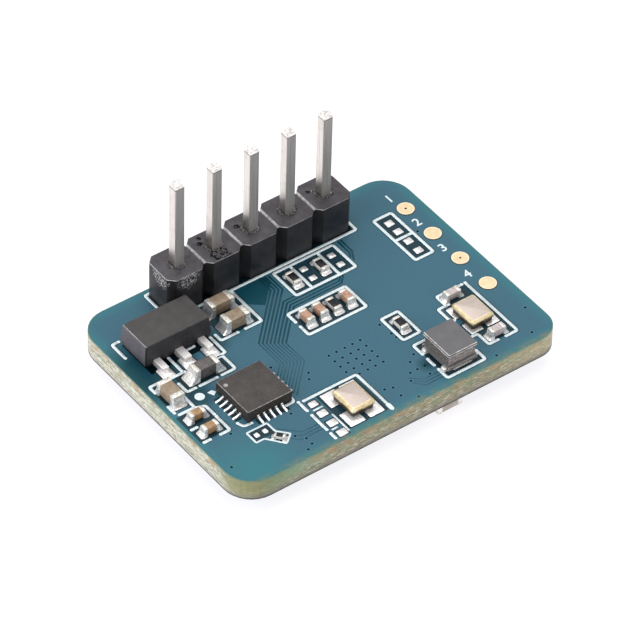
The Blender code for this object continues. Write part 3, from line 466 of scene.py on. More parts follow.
# Painted shade: the lid's lowest edge, under its overhanging rim, is darker.
shaded_lid_bottom = ramp(axes(object_point(tree))["Z"], TOP + 0.44 * MM, TOP + 0.36 * MM, 0.85)
satin = mix(grain(tree, (0.25, 0.05, 0.5), 1.4), (0.54, 0.465, 0.42), (0.68, 0.595, 0.545))
plating = mix(grain(tree, 0.22, 2.4), (0.6, 0.46, 0.22), (0.95, 0.84, 0.58))
plating = layers(plating, (shaded_lid_bottom, (0.16, 0.1, 0.045)), (flat_top, satin))
paint(tree, shader, plating, spread(flat_top, 0.34, 0.58), grain(tree, 0.15, 1.5), 0.003)
feed(shader["Metallic"], spread(flat_top, 0.65, 0.9))
print("gilding and lid metal made")

# %% [markdown]
# ## Ceramics and coatings
# Ceramic capacitors are tan or brown with a faint speckle, resistors are glazed black on white
# alumina, and the ink is a dull bluish white. They differ only in two colours, a grain size and a
# gloss, so one maker serves them all.

# %% The ceramic maker
def grained_finish(name, first, second, size, low, high, depth, shine=0.5, front_light_gain=1.0):
    """A mottled, non-metallic finish. Walls that face the front may be painted lighter: painted light."""
    tree, shader, material = new_finish(name, Specular_IOR_Level=shine)
    coarse, fine = grain(tree, size, 1.6), grain(tree, size * 0.22, 2.2, 2.0)
    share = ramp(times(coarse, fine), 0.05, 0.55)
    front_light = spread(facing(tree)["Y"], front_light_gain, 1.0, -0.8, -0.4)
    tint = vectors("SCALE", mix(share, first, second), front_light)
    paint(tree, shader, tint, spread(coarse, low, high), fine, depth)
    return material


TAN_CERAMIC = grained_finish("tan_ceramic", (0.215, 0.155, 0.1), (0.35, 0.275, 0.195), 0.3, 0.35, 0.5, 0.006)
BROWN_CERAMIC = grained_finish("brown_ceramic", (0.3, 0.15, 0.095), (0.6, 0.4, 0.29), 0.22, 0.35, 0.5, 0.006)
UMBER_CERAMIC = grained_finish("umber_ceramic", (0.26, 0.145, 0.065), (0.52, 0.33, 0.175), 0.22, 0.35, 0.5,
                               0.006)
PALE_CERAMIC = grained_finish("pale_ceramic", (0.4, 0.34, 0.34), (0.64, 0.57, 0.57), 0.18, 0.35, 0.5, 0.008)
BLACK_CERAMIC = grained_finish("black_ceramic", (0.05, 0.044, 0.042), (0.16, 0.145, 0.14), 0.22, 0.32,
                               0.46, 0.008)
RESISTOR_GLAZE = grained_finish("resistor_glaze", (0.006, 0.006, 0.008), (0.026, 0.026, 0.031), 0.18, 0.22,
                                0.36, 0.004, shine=0.22)
ALUMINA = grained_finish("alumina", (0.55, 0.53, 0.5), (0.78, 0.76, 0.73), 0.15, 0.45, 0.6, 0.006)
# Painted light: the coat's walls that face the front are painted 2.3 times lighter.
COIL_RESIN = grained_finish("coil_resin", (0.04, 0.034, 0.032), (0.22, 0.198, 0.186), 0.14, 0.34, 0.55,
                            0.016, front_light_gain=2.3)
# Very dark: partly black ceramic and partly painted shade under the overhanging lid.
CRYSTAL_BASE = grained_finish("crystal_base", (0.014, 0.011, 0.008), (0.07, 0.05, 0.03), 0.16, 0.45, 0.6,
                              0.006)
WHITE_INK = grained_finish("white_ink", (0.6, 0.7, 0.74), (0.86, 0.93, 0.96), 0.16, 0.5, 0.65, 0.006)
print("ceramics made")

# %% [markdown]
# ## Mouldings with painted edge highlights
# A block of black epoxy isn't one black. Its top is sanded dull and greys, its walls stay smooth and
# dark, and on its edges, rounded by a few hundredths of a millimetre, a thin line of light is painted
# as a highlight. Walls that face the left light may be painted lighter too. The face's own normal
# tells the three apart: straight up is top, level is wall, between is edge. True Normal is used
# because it ignores smooth shading.

# %% The edged moulding maker
def edge_masks(tree):
    """How much a face is a top, how much it is a rounded or sloped edge, and which way it looks."""
    face = facing(tree, "True Normal")
    top = ramp(face["Z"], 0.93, 0.98)
    return top, maths("SUBTRACT", ramp(face["Z"], 0.28, 0.36), top), face


def moulded_finish(name, top_pair, wall_pair, line, size, line_share, highlight_grain=0.25, left_light_gain=1.0,
                   front_line=1.0, corner=0.0):
    """Filled epoxy: a dull top, dark walls, of which those facing left may be painted lighter, painted
    highlight lines on the edges and a shaded front left corner.
    """
    tree, shader, material = new_finish(name, Specular_IOR_Level=0.3)
    top, edge, face = edge_masks(tree)
    fine = grain(tree, size * 0.25, 2.4, 2.0)
    share = ramp(times(grain(tree, size * 5), fine), 0.02, 0.6)
    # Painted light: walls that face left are painted lighter.
    left = spread(face["X"], left_light_gain, 1.0, -0.8, -0.4)
    # Painted highlight: a light line on the rounded edges, full where an edge faces left and a share of it
    # elsewhere.
    painted_edge_highlight = times(edge, spread(grain(tree, highlight_grain, 2.5), 0.2, line_share),
                 spread(face["X"], 1.0, front_line, -0.45, -0.1))
    front_left = ramp(times(face["X"], face["Y"]), 0.15, 0.3, corner)
    tint = layers(vectors("SCALE", mix(share, *wall_pair), left),
                  (top, mix(share, *top_pair)), (front_left, (0.004, 0.004, 0.004)), (painted_edge_highlight, line))
    paint(tree, shader, tint, spread(fine, 0.4, 0.6), fine, 0.01)
    return material


# Painted light: its walls that face left are painted 3.3 times lighter, and its edges get the full painted
# highlight only where they face left.
REGULATOR_EPOXY = moulded_finish("regulator_epoxy", ((0.041, 0.039, 0.039), (0.09, 0.087, 0.086)),
                                 ((0.017, 0.016, 0.019), (0.042, 0.04, 0.046)), (0.4, 0.39, 0.38), 0.16,
                                 0.85, left_light_gain=3.3, front_line=0.15, corner=0.9)
CONTROLLER_EPOXY = moulded_finish("controller_epoxy", ((0.036, 0.031, 0.03), (0.094, 0.084, 0.08)),
                                  ((0.012, 0.01, 0.01), (0.045, 0.038, 0.036)), (0.4, 0.37, 0.35), 0.14,
                                  1.0, highlight_grain=0.12)
FERRITE = moulded_finish("ferrite", ((0.1, 0.098, 0.106), (0.168, 0.165, 0.176)),
                         ((0.09, 0.084, 0.086), (0.19, 0.178, 0.176)), (0.74, 0.73, 0.72), 0.18, 1.0)
print("mouldings made")

# %% [markdown]
# ## The header's nylon
# The strip is glossy black on its walls and grey on its cut top. The photograph shows wear on it:
# ragged rings where the pins were driven in, a torn patch before the second pin, and a dusting of
# broken fibres on the first segment, where the strip was snapped. Light lines are painted as
# highlights where an edge or a score faces the light, the notch walls are painted near-black as
# shade, and near-black spots lie round the small pits and in the torn patch, where they are
# painted shade in its holes. Each is a mask from a place and some grain. The black spots would
# mirror the white room, so they also take the gloss away.

# %% The nylon
STRIP_LOW, STRIP_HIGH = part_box("header_insulator")
STRIP_Z, PIN_Y = STRIP_HIGH.z / MM, middle_of("header_pin_1")[1]
PIN_X = [middle_of(f"header_pin_{number}")[0] for number in range(1, 6)]
HALF_PITCH = (PIN_X[1] - PIN_X[0]) / 2
PITS = ((PIN_X[1] - 0.62, 0.5, 0.06, 0.28), (PIN_X[2] - 0.62, 0.5, 0.06, 0.28),
        (PIN_X[4] - 0.62, 0.5, 0.06, 0.28), (PIN_X[1] - 0.42, 0.88, 0.0, 0.26))
TORN = (PIN_X[1] - 0.12, PIN_Y - 0.74, STRIP_Z)
SNAPPED = (((PIN_X[0] - 0.05, STRIP_LOW.y / MM, STRIP_Z - 0.2), 0.5, 1.35),
           ((STRIP_LOW.x / MM, PIN_Y - 0.25, STRIP_Z - 0.3), 0.5, 1.2))
tree, shader, NYLON = new_finish("nylon", Specular_IOR_Level=0.35)
(top, edge, face), point = edge_masks(tree), axes(object_point(tree))
mottle, specks = grain(tree, 0.5, 1.8), grain(tree, 0.06, 5.0, 2.0)
slanted = times(face["X"], face["Y"])
# Painted shade: the slanted notch walls are made near-black.
shaded_notch = larger(ramp(slanted, 0.15, 0.4, 0.75), ramp(slanted, -0.15, -0.4, 0.75))
# Painted highlight: light lines on the rounded edges and scores that face the light, strongest where they
# face left.
line = times(edge, spread(face["X"], 0.95, 0.25, -0.45, 0.1),
             ramp(face["X"], 0.45, 0.15), spread(grain(tree, 0.22, 3.0), 0.45, 1.0))
pits = larger(*(near(tree, (x, PIN_Y + y, STRIP_Z), inner, outer) for x, y, inner, outer in PITS))
torn = times(top, near(tree, TORN, 0.4, 0.8))
# Near-black, glossless spots round the pits and in the torn patch, where they are painted shade in its holes.
spot_strength = larger(times(pits, spread(grain(tree, 0.14, 4.0), 0.4, 1.5)),
                times(torn, spread(grain(tree, 0.2, 4.0, 2.0), 0.0, 1.4)))
black_spots = ramp(spot_strength, 0.38, 0.58, 0.95)
around = maths("WRAP", point["X"], (PIN_X[0] + HALF_PITCH) * MM, (PIN_X[0] - HALF_PITCH) * MM)
folded = wire(tree, "ShaderNodeCombineXYZ", {0: around, 1: point["Y"], 2: STRIP_HIGH.z})[0]
from_pin = vectors("DISTANCE", folded, (PIN_X[0] * MM, PIN_Y * MM, STRIP_HIGH.z))
collar = times(ramp(from_pin, 0.72 * MM, 0.46 * MM), top)
ringed = ramp(times(collar, grain(tree, 0.11, 5.0)), 0.25, 0.5, 0.9)
snapped = larger(*(near(tree, *spot) for spot in SNAPPED))
flakes = times(snapped, spread(top, 1.0, 0.0), grain(tree, 0.085, 3.0, 2.0))
black = layers(mix(mottle, (0.009, 0.009, 0.011), (0.025, 0.024, 0.029)),
               (top, mix(mottle, (0.036, 0.033, 0.04), (0.078, 0.073, 0.084))),
               (shaded_notch, (0.002, 0.002, 0.003)),
               (line, (0.62, 0.61, 0.62)),
               (black_spots, (0.004, 0.004, 0.005)),
               (ramp(times(torn, specks), 0.84, 0.96, 0.6), (0.3, 0.29, 0.3)),
               (ringed, (0.008, 0.008, 0.009)),
               (ramp(times(collar, specks), 0.52, 0.75, 0.5), (0.4, 0.39, 0.38)),
               (ramp(flakes, 0.52, 0.7, 0.9), (0.38, 0.37, 0.38)))
paint(tree, shader, black, spread(mottle, 0.34, 0.5), grain(tree, 0.1, 1.4), 0.01)
feed(shader["Specular IOR Level"], spread(larger(black_spots, ringed), 0.35, 0.0))
print("nylon:", len(tree.nodes), "nodes")

# %% [markdown]
# ## Making pieces
# A bmesh is Blender's mesh in code, shaped with the same operators as in Edit Mode. Most pieces here
# are joined from several small solids, each with its own finish: a capacitor is a ceramic body,
# two plated ends and two solder fillets. Each solid is shaped alone around the origin, and the
# assembler then recalculates its normals, marks its faces with a material number and adds it.

# %% The assembler
def assemble(name, solids, finishes, smooth=35.0):
    """Joins (bmesh, finish number) solids into one piece that rides on the board."""
    whole = bmesh.new()
    for solid, number in solids:
        bmesh.ops.recalc_face_normals(solid, faces=solid.faces)
        for face in solid.faces:
            face.material_index = number
        scratch = bpy.data.meshes.new("scratch")
        solid.to_mesh(scratch)
        solid.free()
        whole.from_mesh(scratch)
        bpy.data.meshes.remove(scratch)
    mesh = bpy.data.meshes.new(name)
    whole.to_mesh(mesh)
    whole.free()
    for finish in finishes:
        mesh.materials.append(finish)
    mesh.shade_smooth()
    mesh.set_sharp_from_angle(angle=math.radians(smooth))
    piece = bpy.data.objects.new(name, mesh)
    bpy.context.scene.collection.objects.link(piece)
    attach(piece, "root")
    return piece


def plain(name, solids, finish, smooth=35.0):
    """One piece of solids that all have the same finish."""
    return assemble(name, [(solid, 0) for solid in solids], [finish], smooth)


def shift(shape, x, y, z=0.0):
    """Moves a solid. Sizes are in millimetres here and in all the shape makers."""
    bmesh.ops.translate(shape, verts=shape.verts, vec=(x * MM, y * MM, z * MM))
    return shape


def turn_round(shape, angle, axis="Z"):
    """Turns a solid about the origin."""
    bmesh.ops.rotate(shape, verts=shape.verts, matrix=Matrix.Rotation(angle, 3, axis))
    return shape


def thicken(shape, rise):
    """Pulls the faces of a flat shape, or its edges if it has none, up by a rise in metres."""
    if shape.faces:
        grown = bmesh.ops.extrude_face_region(shape, geom=shape.faces[:])["geom"]
    else:
        grown = bmesh.ops.extrude_edge_only(shape, edges=shape.edges[:])["geom"]
    lifted = [item for item in grown if isinstance(item, bmesh.types.BMVert)]
    bmesh.ops.translate(shape, verts=lifted, vec=(0.0, 0.0, rise))
    return shape


def rounded_box(size, x, z, radius, segments=2):
    """A box with rounded edges, moved along X and Z."""
    shape = bmesh.new()
    bmesh.ops.create_cube(shape, size=1.0)
    bmesh.ops.scale(shape, verts=shape.verts, vec=[value * MM for value in size])
    bmesh.ops.bevel(shape, geom=shape.edges[:], offset=radius * MM, offset_type="OFFSET", affect="EDGES",
                    segments=segments, profile=0.5, material=-1, clamp_overlap=True)
    return shift(shape, x, 0.0, z)


def loft(sections, corner=0.05, steps=2):
    """Rounded rectangles (height, length, width, shift along X) joined from the bottom up."""
    shape = bmesh.new()
    low, length, width, aside = sections[0]
    bmesh.ops.create_grid(shape, x_segments=1, y_segments=1, size=0.5)
    bmesh.ops.scale(shape, verts=shape.verts, vec=(length * MM, width * MM, 1.0))
    bmesh.ops.bevel(shape, geom=shape.verts[:], offset=corner * MM, offset_type="OFFSET", affect="VERTICES",
                    segments=steps, profile=0.5, material=-1)
    shift(shape, aside, 0.0, low)
    face, spent = shape.faces[:][0], []
    for next_low, next_length, next_width, next_aside in sections[1:]:
        grown = bmesh.ops.extrude_face_region(shape, geom=[face])["geom"]
        bmesh.ops.delete(shape, geom=spent, context="FACES_ONLY")
        face = next(item for item in grown if isinstance(item, bmesh.types.BMFace))
        spent = [face]
        bmesh.ops.scale(shape, verts=face.verts, vec=(next_length / length, next_width / width, 1.0),
                        space=Matrix.Translation((-aside * MM, 0.0, 0.0)))
        bmesh.ops.translate(shape, verts=face.verts,
                            vec=((next_aside - aside) * MM, 0.0, (next_low - low) * MM))
        low, length, width, aside = next_low, next_length, next_width, next_aside
    return shape


def stepped(length, width, steps, corner=0.05, segments=2):
    """A loft whose sections all lose the same from length and width: steps of (height, loss)."""
    return loft([(height, length - loss, width - loss, 0.0) for height, loss in steps], corner, segments)


def stand(shape, x, y, turned=0.0, under=False):
    """Puts a solid that was shaped on z = 0 onto the board, or hangs it under the board."""
    turn_round(shape, turned)
    if under:
        turn_round(shape, math.pi, "X")
    return shift(shape, x, y, (UNDER if under else TOP) / MM)


print("assembler ready")

# %% [markdown]
# ## The board and its mask
# The laminate is the CAD node itself, in its new finish. The mask is made from it: a copy of
# the node is merged, everything but its upper face is deleted, and that face is inset by a few
# hundredths of a millimetre. The ring that the inset leaves behind goes, which bares the rim of the
# board and the rings round the pin holes. Extruding what is left gives the film its thickness.

# %% The mask films
def merged_copy(node):
    """A CAD node's mesh with its loose triangles joined."""
    shape = bmesh.new()
    shape.from_mesh(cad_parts[node].data)
    bmesh.ops.remove_doubles(shape, verts=shape.verts, dist=SHEET)
    return shape


def make_whole(shape, degrees):
    """Joins the triangles of each flat face into one face."""
    bmesh.ops.dissolve_limit(shape, angle_limit=math.radians(degrees), verts=shape.verts, edges=shape.edges)


for name, upward in (("mask_top", 1), ("mask_under", -1)):
    shape = merged_copy("board")
    other = [face for face in shape.faces if face.normal.z * upward < 0.9]
    bmesh.ops.delete(shape, geom=other, context="FACES")
    make_whole(shape, 1.0)
    rim = bmesh.ops.inset_region(shape, faces=shape.faces[:], thickness=MASK_SETBACK, use_even_offset=True,
                                 use_boundary=True)["faces"]
    bmesh.ops.delete(shape, geom=rim, context="FACES")
    film = plain(name, [thicken(shape, upward * MASK_FILM)], MASK_ON_COPPER)
    print(name, "faces:", len(film.data.polygons))

# %% [markdown]
# ## Lines on the board
# Copper traces and printed lines are the same job at two widths: a path with square corners and a
# constant width. The path is a chain of edges, extruded upwards into a wall a few microns high. A
# Solidify modifier with an even offset then gives the wall its width, and it mitres the corners by
# itself. That is far less work than drawing outlines, and the width stays one number. Ink flows a
# little, so printed lines get soft corners and round ends.

# %% The line maker
def opened(points):
    """The points of a path without a repeated last one, and whether it had one."""
    closed = points[0] == points[-1]
    return (points[:-1] if closed else points), closed


def walls(name, lines, width, level, rise, finish):
    """Flat lines of one width on the board, from a level up by a rise, both in metres."""
    shape = bmesh.new()
    for points in lines:
        points, closed = opened(points)
        corners = [shape.verts.new((x * MM, y * MM, level)) for x, y in points]
        for pair in zip(corners, corners[1:] + corners[:1] if closed else corners[1:]):
            shape.edges.new(pair)
    piece = plain(name, [thicken(shape, rise)], finish)
    widen = piece.modifiers.new("width", "SOLIDIFY")
    widen.thickness, widen.offset, widen.use_even_offset = width * MM, 0.0, True


def soften(points, radius, steps=3):
    """The same path with each corner turned into a short curve."""
    points, closed = opened(points)
    ring, softer = [Vector(point) for point in points], []
    for index, here in enumerate(ring):
        if not closed and index in (0, len(ring) - 1):
            softer.append(tuple(here))
            continue
        sides = [ring[index - 1] - here, ring[(index + 1) % len(ring)] - here]
        enter, leave = [here + side.normalized() * min(radius, side.length * 0.45) for side in sides]
        for step in range(steps + 1):
            share = step / steps
            softer.append(tuple(enter.lerp(here, share).lerp(here.lerp(leave, share), share)))
    return softer + softer[:1] if closed else softer


def prism(corners, low, high):
    """A flat patch from a few corner points, between two levels in metres."""
    shape = bmesh.new()
    bmesh.ops.contextual_create(shape, geom=[shape.verts.new((x * MM, y * MM, low)) for x, y in corners])
    return thicken(shape, high - low)


def path(x, y, *turns):
    """Square-cornered points from a start: a new X, a new Y and so on, or None for no change."""
    points = [(x, y)]
    for number, value in enumerate(turns):
        if value is not None:
            x, y = (x, value) if number % 2 else (value, y)
            points.append((x, y))
    return points


def patch(x, y, length, width, low, high):
    """A rectangular patch."""
    left, right = x - length / 2, x + length / 2
    return prism(path(left, y - width / 2, right, y + width / 2, left), low, high)


def ring(x, y, inner, outer, low, high, steps=20):
    """A flat ring: a small rectangle spun round the vertical."""
    shape = bmesh.new()
    profile = [shape.verts.new((radius * MM, 0.0, level))
               for radius, level in ((inner, low), (outer, low), (outer, high), (inner, high))]
    for pair in zip(profile, profile[1:] + profile[:1]):
        shape.edges.new(pair)
    bmesh.ops.spin(shape, geom=shape.verts[:] + shape.edges[:], cent=(0, 0, 0), axis=(0, 0, 1),
                   angle=2 * math.pi, steps=steps, use_merge=True)
    return shift(shape, x, y)


def disc(x, y, radius, low, high, sides=16):
    """A thin round plate."""
    shape = bmesh.new()
    bmesh.ops.create_circle(shape, cap_ends=True, segments=sides, radius=radius * MM,
                            matrix=Matrix.Translation((x * MM, y * MM, low)))
    return thicken(shape, high - low)


print("line maker ready")

# %% [markdown]
# ## Copper under the lacquer
# Most of the board is poured copper, which makes the teal light. Where the pour is cleared, the
# lacquer looks deep: in front of the header, round the regulator, and between traces. A bundle of
# traces is therefore drawn by its gaps, thin dark lines with a strip of copper left between each
# two, so that it reads as the photograph shows it, light and dark by turns.

# %% Clear areas and traces
CLEAR_AREA = [(-2.25, 5.05), (-2.25, 3.75), (-1.45, 3.1), (-0.55, 4.0), (-0.1, 4.4), (-0.1, 5.05)]
CLEAR_LEVEL = FILM_TOP + SHEET
WIDE_GAP, NARROW_GAP = 0.115, 0.075
plain("clear_areas", [prism(CLEAR_AREA, FILM_TOP, CLEAR_LEVEL)], MASK_ON_LAMINATE)

wide_gaps, traces = [], []
for number in range(8):
    slant, foot = -4.4 + 0.3 * number, -3.6 + 0.18 * number
    start, level = 3.9 - 0.1 * number, 2.75 - 0.22 * (number - 4)
    if number < 4:
        head = [(start + slant, 5.0), (start + slant, start)]
    else:
        head = [(3.9, level + 0.8), (3.1, level), (level + slant, level)]
    bend, reach = -1.2 - 0.08 * number, foot + 4.3
    wide_gaps.append(head + [(foot, foot - slant)])
    traces.append([(foot, foot - slant), (foot, bend), (foot - reach, bend - reach)])
for number in range(3):
    aside = 0.22 * number
    traces.append([(-6.75 - aside, -5.2 - aside), (-5.75 - aside, -6.2 - aside), (-4.75, -6.2 - aside)])
    traces.append([(1.5, -6.2 - aside), (2.2 - aside / 2, -6.75 - aside), (3.1, -6.75 - aside)])
wide_gaps += [[(4.8, 3.5), (5.0, 3.9), (5.0, 5.0)], [(4.8, 3.2), (5.2, 3.9), (5.2, 5.0)]]
walls("wide_gaps", wide_gaps, WIDE_GAP, CLEAR_LEVEL, SHEET, MASK_ON_LAMINATE)
walls("trace_gaps", traces, NARROW_GAP, CLEAR_LEVEL, SHEET, MASK_ON_GAP)
print("gaps between traces:", len(wide_gaps) + len(traces))

# %% Vias
VIAS = [(x, y) for x in (-1.0, -0.47, 0.1, 0.63, 1.17) for y in (-2.23, -2.78, -3.3, -3.83, -4.35)]
VIAS += [(2.8, -1.87), (2.9, -2.8), (2.95, -3.2), (2.9, -4.85), (2.37, -5.23), (1.85, -5.92), (2.35, -5.92),
         (2.85, -5.92), (1.5, -6.45), (2.7, -6.6), (-0.1, -6.15), (0.37, -6.3), (0.35, -7.05), (1.1, -7.67),
         (-2.73, -2.67), (-3.0, -3.1), (-4.17, -1.13), (-5.43, -4.7), (-6.27, -6.23), (-5.87, -6.73),
         (-6.3, -7.47), (-5.87, -7.23), (-9.03, -4.07), (-10.5, -6.17), (9.23, 3.05), (10.3, -5.45),
         (9.35, -7.25), (6.6, -7.58)]
VIA_LEVEL = FILM_TOP + 4 * SHEET
VIA_BORE, VIA_MOUTH, VIA_LAND, VIA_SIDES = 0.06, 0.086, 0.15, 10
vias = []
for x, y in VIAS:
    vias.append((ring(x, y, VIA_BORE, VIA_LAND, FILM_TOP, VIA_LEVEL, VIA_SIDES), 0))
    vias.append((disc(x, y, VIA_MOUTH, FILM_TOP, VIA_LEVEL + SHEET, VIA_SIDES), 1))
assemble("vias", vias, [MASK_ON_TRACE, VIA_HOLE])
print("vias:", len(VIAS))

# %% [markdown]
# ## Printed ink
# White ink frames each component and marks its orientation. The lines are squeezed through a screen,
# so all have one width, and they stand a little proud of the lacquer. Inside a frame the copper is
# cleared, so the ground there is nearly black. Under the header strip the ground is painted
# near-black as the strip's shade and reflection, which shows in its notches. The lettering of the
# photographed board is left out. Plain numerals mark the four test pads instead.

# %% The printed frames
INK_WIDTH, FINE_INK, INK_SHADE = 0.195, 0.12, 0.1
INK_CORNER, FINE_CORNER = 0.12, 0.08
BLOB_SIZE, BLOB_CORNER, BLOB_SPOT = (0.27, 0.55), 0.11, (-0.66, -7.38)
FRAMES = [path(*row) for row in (
    (-6.5, 5.19, 6.46, 7.62, -6.5, 5.19), (3.13, -3.63, 4.3, -1.57, 3.13, -3.63),
    (0.43, 2.73, 4.6, 4.93, 0.43, 2.73), (7.67, 1.2, 8.93, 5.17, 7.67, 1.2),
    (-0.9, 0.55, None, -0.24, 3.12, 1.78, -0.9, 1.0), (-9.85, 5.4, -10.3, 4.1), (-5.5, 2.75, None, 1.3, -6.2),
    (-8.35, 2.73, None, 1.45), (-9.3, 1.35, -8.25), (-7.2, 2.7, -6.65), (-5.15, 2.75, None, 2.2, -4.0),
    (-3.48, 2.2, -2.35, 5.02), (-8.5, -0.05, -9.07, 0.75), (-8.2, -0.05, -7.05),
    (-6.7, -0.05, -5.8, 1.2, -6.4), (-9.43, -0.3, None, -1.25, -10.45), (-10.55, 0.9, None, 1.45, -9.9),
    (-10.6, -1.0, None, -0.4), (-9.5, -3.78, -8.87, -2.5), (-10.6, -2.6, -10.25), (-10.6, -3.78, -10.2),
    (-4.27, -4.3, -0.66, -7.6), (-4.57, -4.22, None, -5.03), (-4.57, -5.47, None, -6.83),
    (-4.57, -7.2, None, -7.63), (8.8, -1.9, None, -6.65, 8.0), (8.55, -1.9, 6.77, -2.65),
    (6.45, -5.6, 6.8, -6.63, 7.45), (4.2, -4.3, 3.3, -5.15), (3.3, -5.6, None, -6.2),
    (3.3, -6.6, None, -7.43, 5.93, -6.6), (1.55, 2.9, None, 4.76), (3.47, 2.9, None, 4.76),
    (7.84, 3.13, 8.76))]
FRAMES += [[(-8.87, -2.32), (-8.87, -1.48), (-9.35, -1.33)], [(-8.25, -3.62), (-8.1, -4.02), (-7.6, -4.05)],
           [(-4.68, -3.62), (-4.72, -4.02), (-5.25, -4.05)],
           [(6.95, -2.78), (6.2, -2.78), (6.2, -3.75), (6.42, -4.0)]]
FINE_FRAMES = [[(-6.93, -5.0), (-6.93, -4.53), (-8.3, -4.53), (-8.3, -5.43), (-7.75, -5.43), (-6.97, -6.42),
                (-6.35, -5.93), (-6.93, -5.28), (-6.93, -5.0)],
               [(-3.6, -6.03), (-3.6, -7.6)], [(-4.3, -5.23), (-3.65, -5.23)], [(-4.35, -7.0), (-3.95, -7.0)]]
BEDS = [(2.51, 3.83, 4.1, 2.15), (8.3, 3.18, 1.2, 3.9), (1.11, 0.77, 3.95, 1.95), (3.71, -2.6, 1.1, 2.0),
        (-3.65, 3.62, 2.5, 2.75), (-7.4, 0.66, 3.2, 1.35), (-9.85, -2.55, 1.85, 2.35),
        (7.75, -4.28, 1.95, 4.6), (4.62, -5.87, 2.55, 3.05), (-7.6, -4.97, 1.3, 0.85),
        (-2.2, -5.95, 2.7, 3.1)]
HEADER_SHADE_PATCH = (-0.02, 6.4, 12.8, 2.28)
BED_LEVEL = FILM_TOP + 0.0008 * MM
INK_LEVEL, END_LEVEL = FILM_TOP + INK_RISE, FILM_TOP + INK_RISE * 1.2
plain("frame_beds", [patch(*bed, FILM_TOP, BED_LEVEL) for bed in BEDS], MASK_IN_FRAMES)
# Painted shade: a near-black patch under the header strip, showing in its notches.
plain("header_painted_shade", [patch(*HEADER_SHADE_PATCH, FILM_TOP, BED_LEVEL)], DEEP_SHADE)
frames = [soften(points, INK_CORNER) for points in FRAMES]
fine_frames = [soften(points, FINE_CORNER) for points in FINE_FRAMES]
walls("frame_shades", frames, INK_WIDTH + INK_SHADE, FILM_TOP, 7 * SHEET, MASK_ON_LAMINATE)
walls("printed_frames", frames, INK_WIDTH, FILM_TOP, INK_RISE, WHITE_INK)
walls("fine_frames", fine_frames, FINE_INK, FILM_TOP, INK_RISE, WHITE_INK)
ends = [spot for line in FRAMES if line[0] != line[-1] for spot in (line[0], line[-1])]
caps = [disc(*spot, INK_WIDTH / 2, FILM_TOP, END_LEVEL) for spot in ends]
blob_low = (END_LEVEL - TOP) / MM
blob = stepped(*BLOB_SIZE, ((blob_low, 0.0), (blob_low + 0.001, 0.0)), BLOB_CORNER, 4)
plain("frame_ends", caps + [stand(blob, *BLOB_SPOT)], WHITE_INK)
print("frames:", len(FRAMES) + len(FINE_FRAMES))

# %% Dots and numerals
ARROW = [(-8.2, -0.72), (-8.02, -1.12), (-7.75, -0.92), (-7.9, -0.7)]
NUMERALS = ((9.55, 6.15), (9.65, 3.66), (9.55, 1.12), (9.35, -1.42))
NUMERAL_SIZE, NUMERAL_WEIGHT = 0.868 * MM, 0.012 * MM
dots = [disc(-8.72, -0.73, 0.29, FILM_TOP, INK_LEVEL, 24), prism(ARROW, FILM_TOP, INK_LEVEL)]
plain("printed_dots", dots, WHITE_INK)


def numeral(text, x, y):
    """A number printed on the board, its mesh made before it is put in place."""
    letters = bpy.data.curves.new("numeral", "FONT")
    letters.body, letters.size, letters.offset = text, NUMERAL_SIZE, NUMERAL_WEIGHT
    letters.extrude, letters.align_x, letters.align_y = INK_RISE / 2, "CENTER", "CENTER"
    guide = bpy.data.objects.new("numeral", letters)
    bpy.context.scene.collection.objects.link(guide)
    flat = bpy.data.meshes.new_from_object(guide.evaluated_get(bpy.context.evaluated_depsgraph_get()))
    bpy.data.objects.remove(guide)
    shape = bmesh.new()
    shape.from_mesh(flat)
    bmesh.ops.remove_doubles(shape, verts=shape.verts, dist=2 * SHEET)
    return shift(shape, x, y, (FILM_TOP + INK_RISE / 2) / MM)


numerals = [numeral(str(number), x, y) for number, (x, y) in enumerate(NUMERALS, start=1)]
plain("pad_numerals", numerals, WHITE_INK)
print("numerals:", len(numerals))

# %% [markdown]
# ## Bare pads and solder
# A pad that carries no component is still tinned, and the tin draws itself into a low cushion. Round
# each pad the lacquer stands back a little and leaves a dark moat. A loft makes the cushion: a
# rounded rectangle, extruded up and scaled in.

# %% Bare pads
PADS = [(x, y, 0.47, 0.4) for x in (2.05, 4.0) for y in (4.25, 3.37)]
PADS += [(8.3, y, 0.53, 0.47) for y in (4.5, 3.67, 2.7, 1.77)]
PADS += [(-4.0, -4.8, 0.55, 0.45), (-4.0, -5.67, 0.6, 0.5), (-4.0, -6.57, 0.6, 0.5), (-4.0, -7.47, 0.6, 0.5),
         (-7.93, -4.97, 0.3, 0.35), (-7.37, -4.97, 0.3, 0.35)]
MOAT = 0.07
FILM = MASK_FILM / MM


def cushion(x, y, length, width, height=0.05):
    """A tinned pad with nothing on it."""
    steps = ((FILM, 0.0), (FILM + height * 0.5, 0.03), (FILM + height, min(length, width) * 0.3))
    return stand(stepped(length, width, steps, 0.06, 3), x, y)


def moat(x, y, length, width, turned=0.0):
    """The dark gap round a pad, where the lacquer stands back."""
    return stand(stepped(length, width, ((FILM, -2 * MOAT), (FILM + 0.004, -2 * MOAT))), x, y, turned)


plain("bare_pads", [cushion(*pad) for pad in PADS], PAD_TIN)
plain("pad_moats", [moat(*pad) for pad in PADS], MASK_IN_SHADE)
print("bare pads:", len(PADS))

# %% [markdown]
# ## Chip components
# A chip capacitor is a ceramic brick whose two ends were dipped in metal, so the ends are a little
# fatter than the body and round at every edge. A resistor is a white alumina tile with a black glaze
# on its top. Both sit in solder that climbs the ends in a hollow curve. The CAD has them as
# one solid each, which can't show two finishes, so each is traded for a piece that is joined
# from body, ends and fillets in the same place and of the same size.

# %% The chip maker
SEAT, PASTE = 0.03, 0.012
END_ROUNDING, LESS_SOLDER = 0.055, 0.86


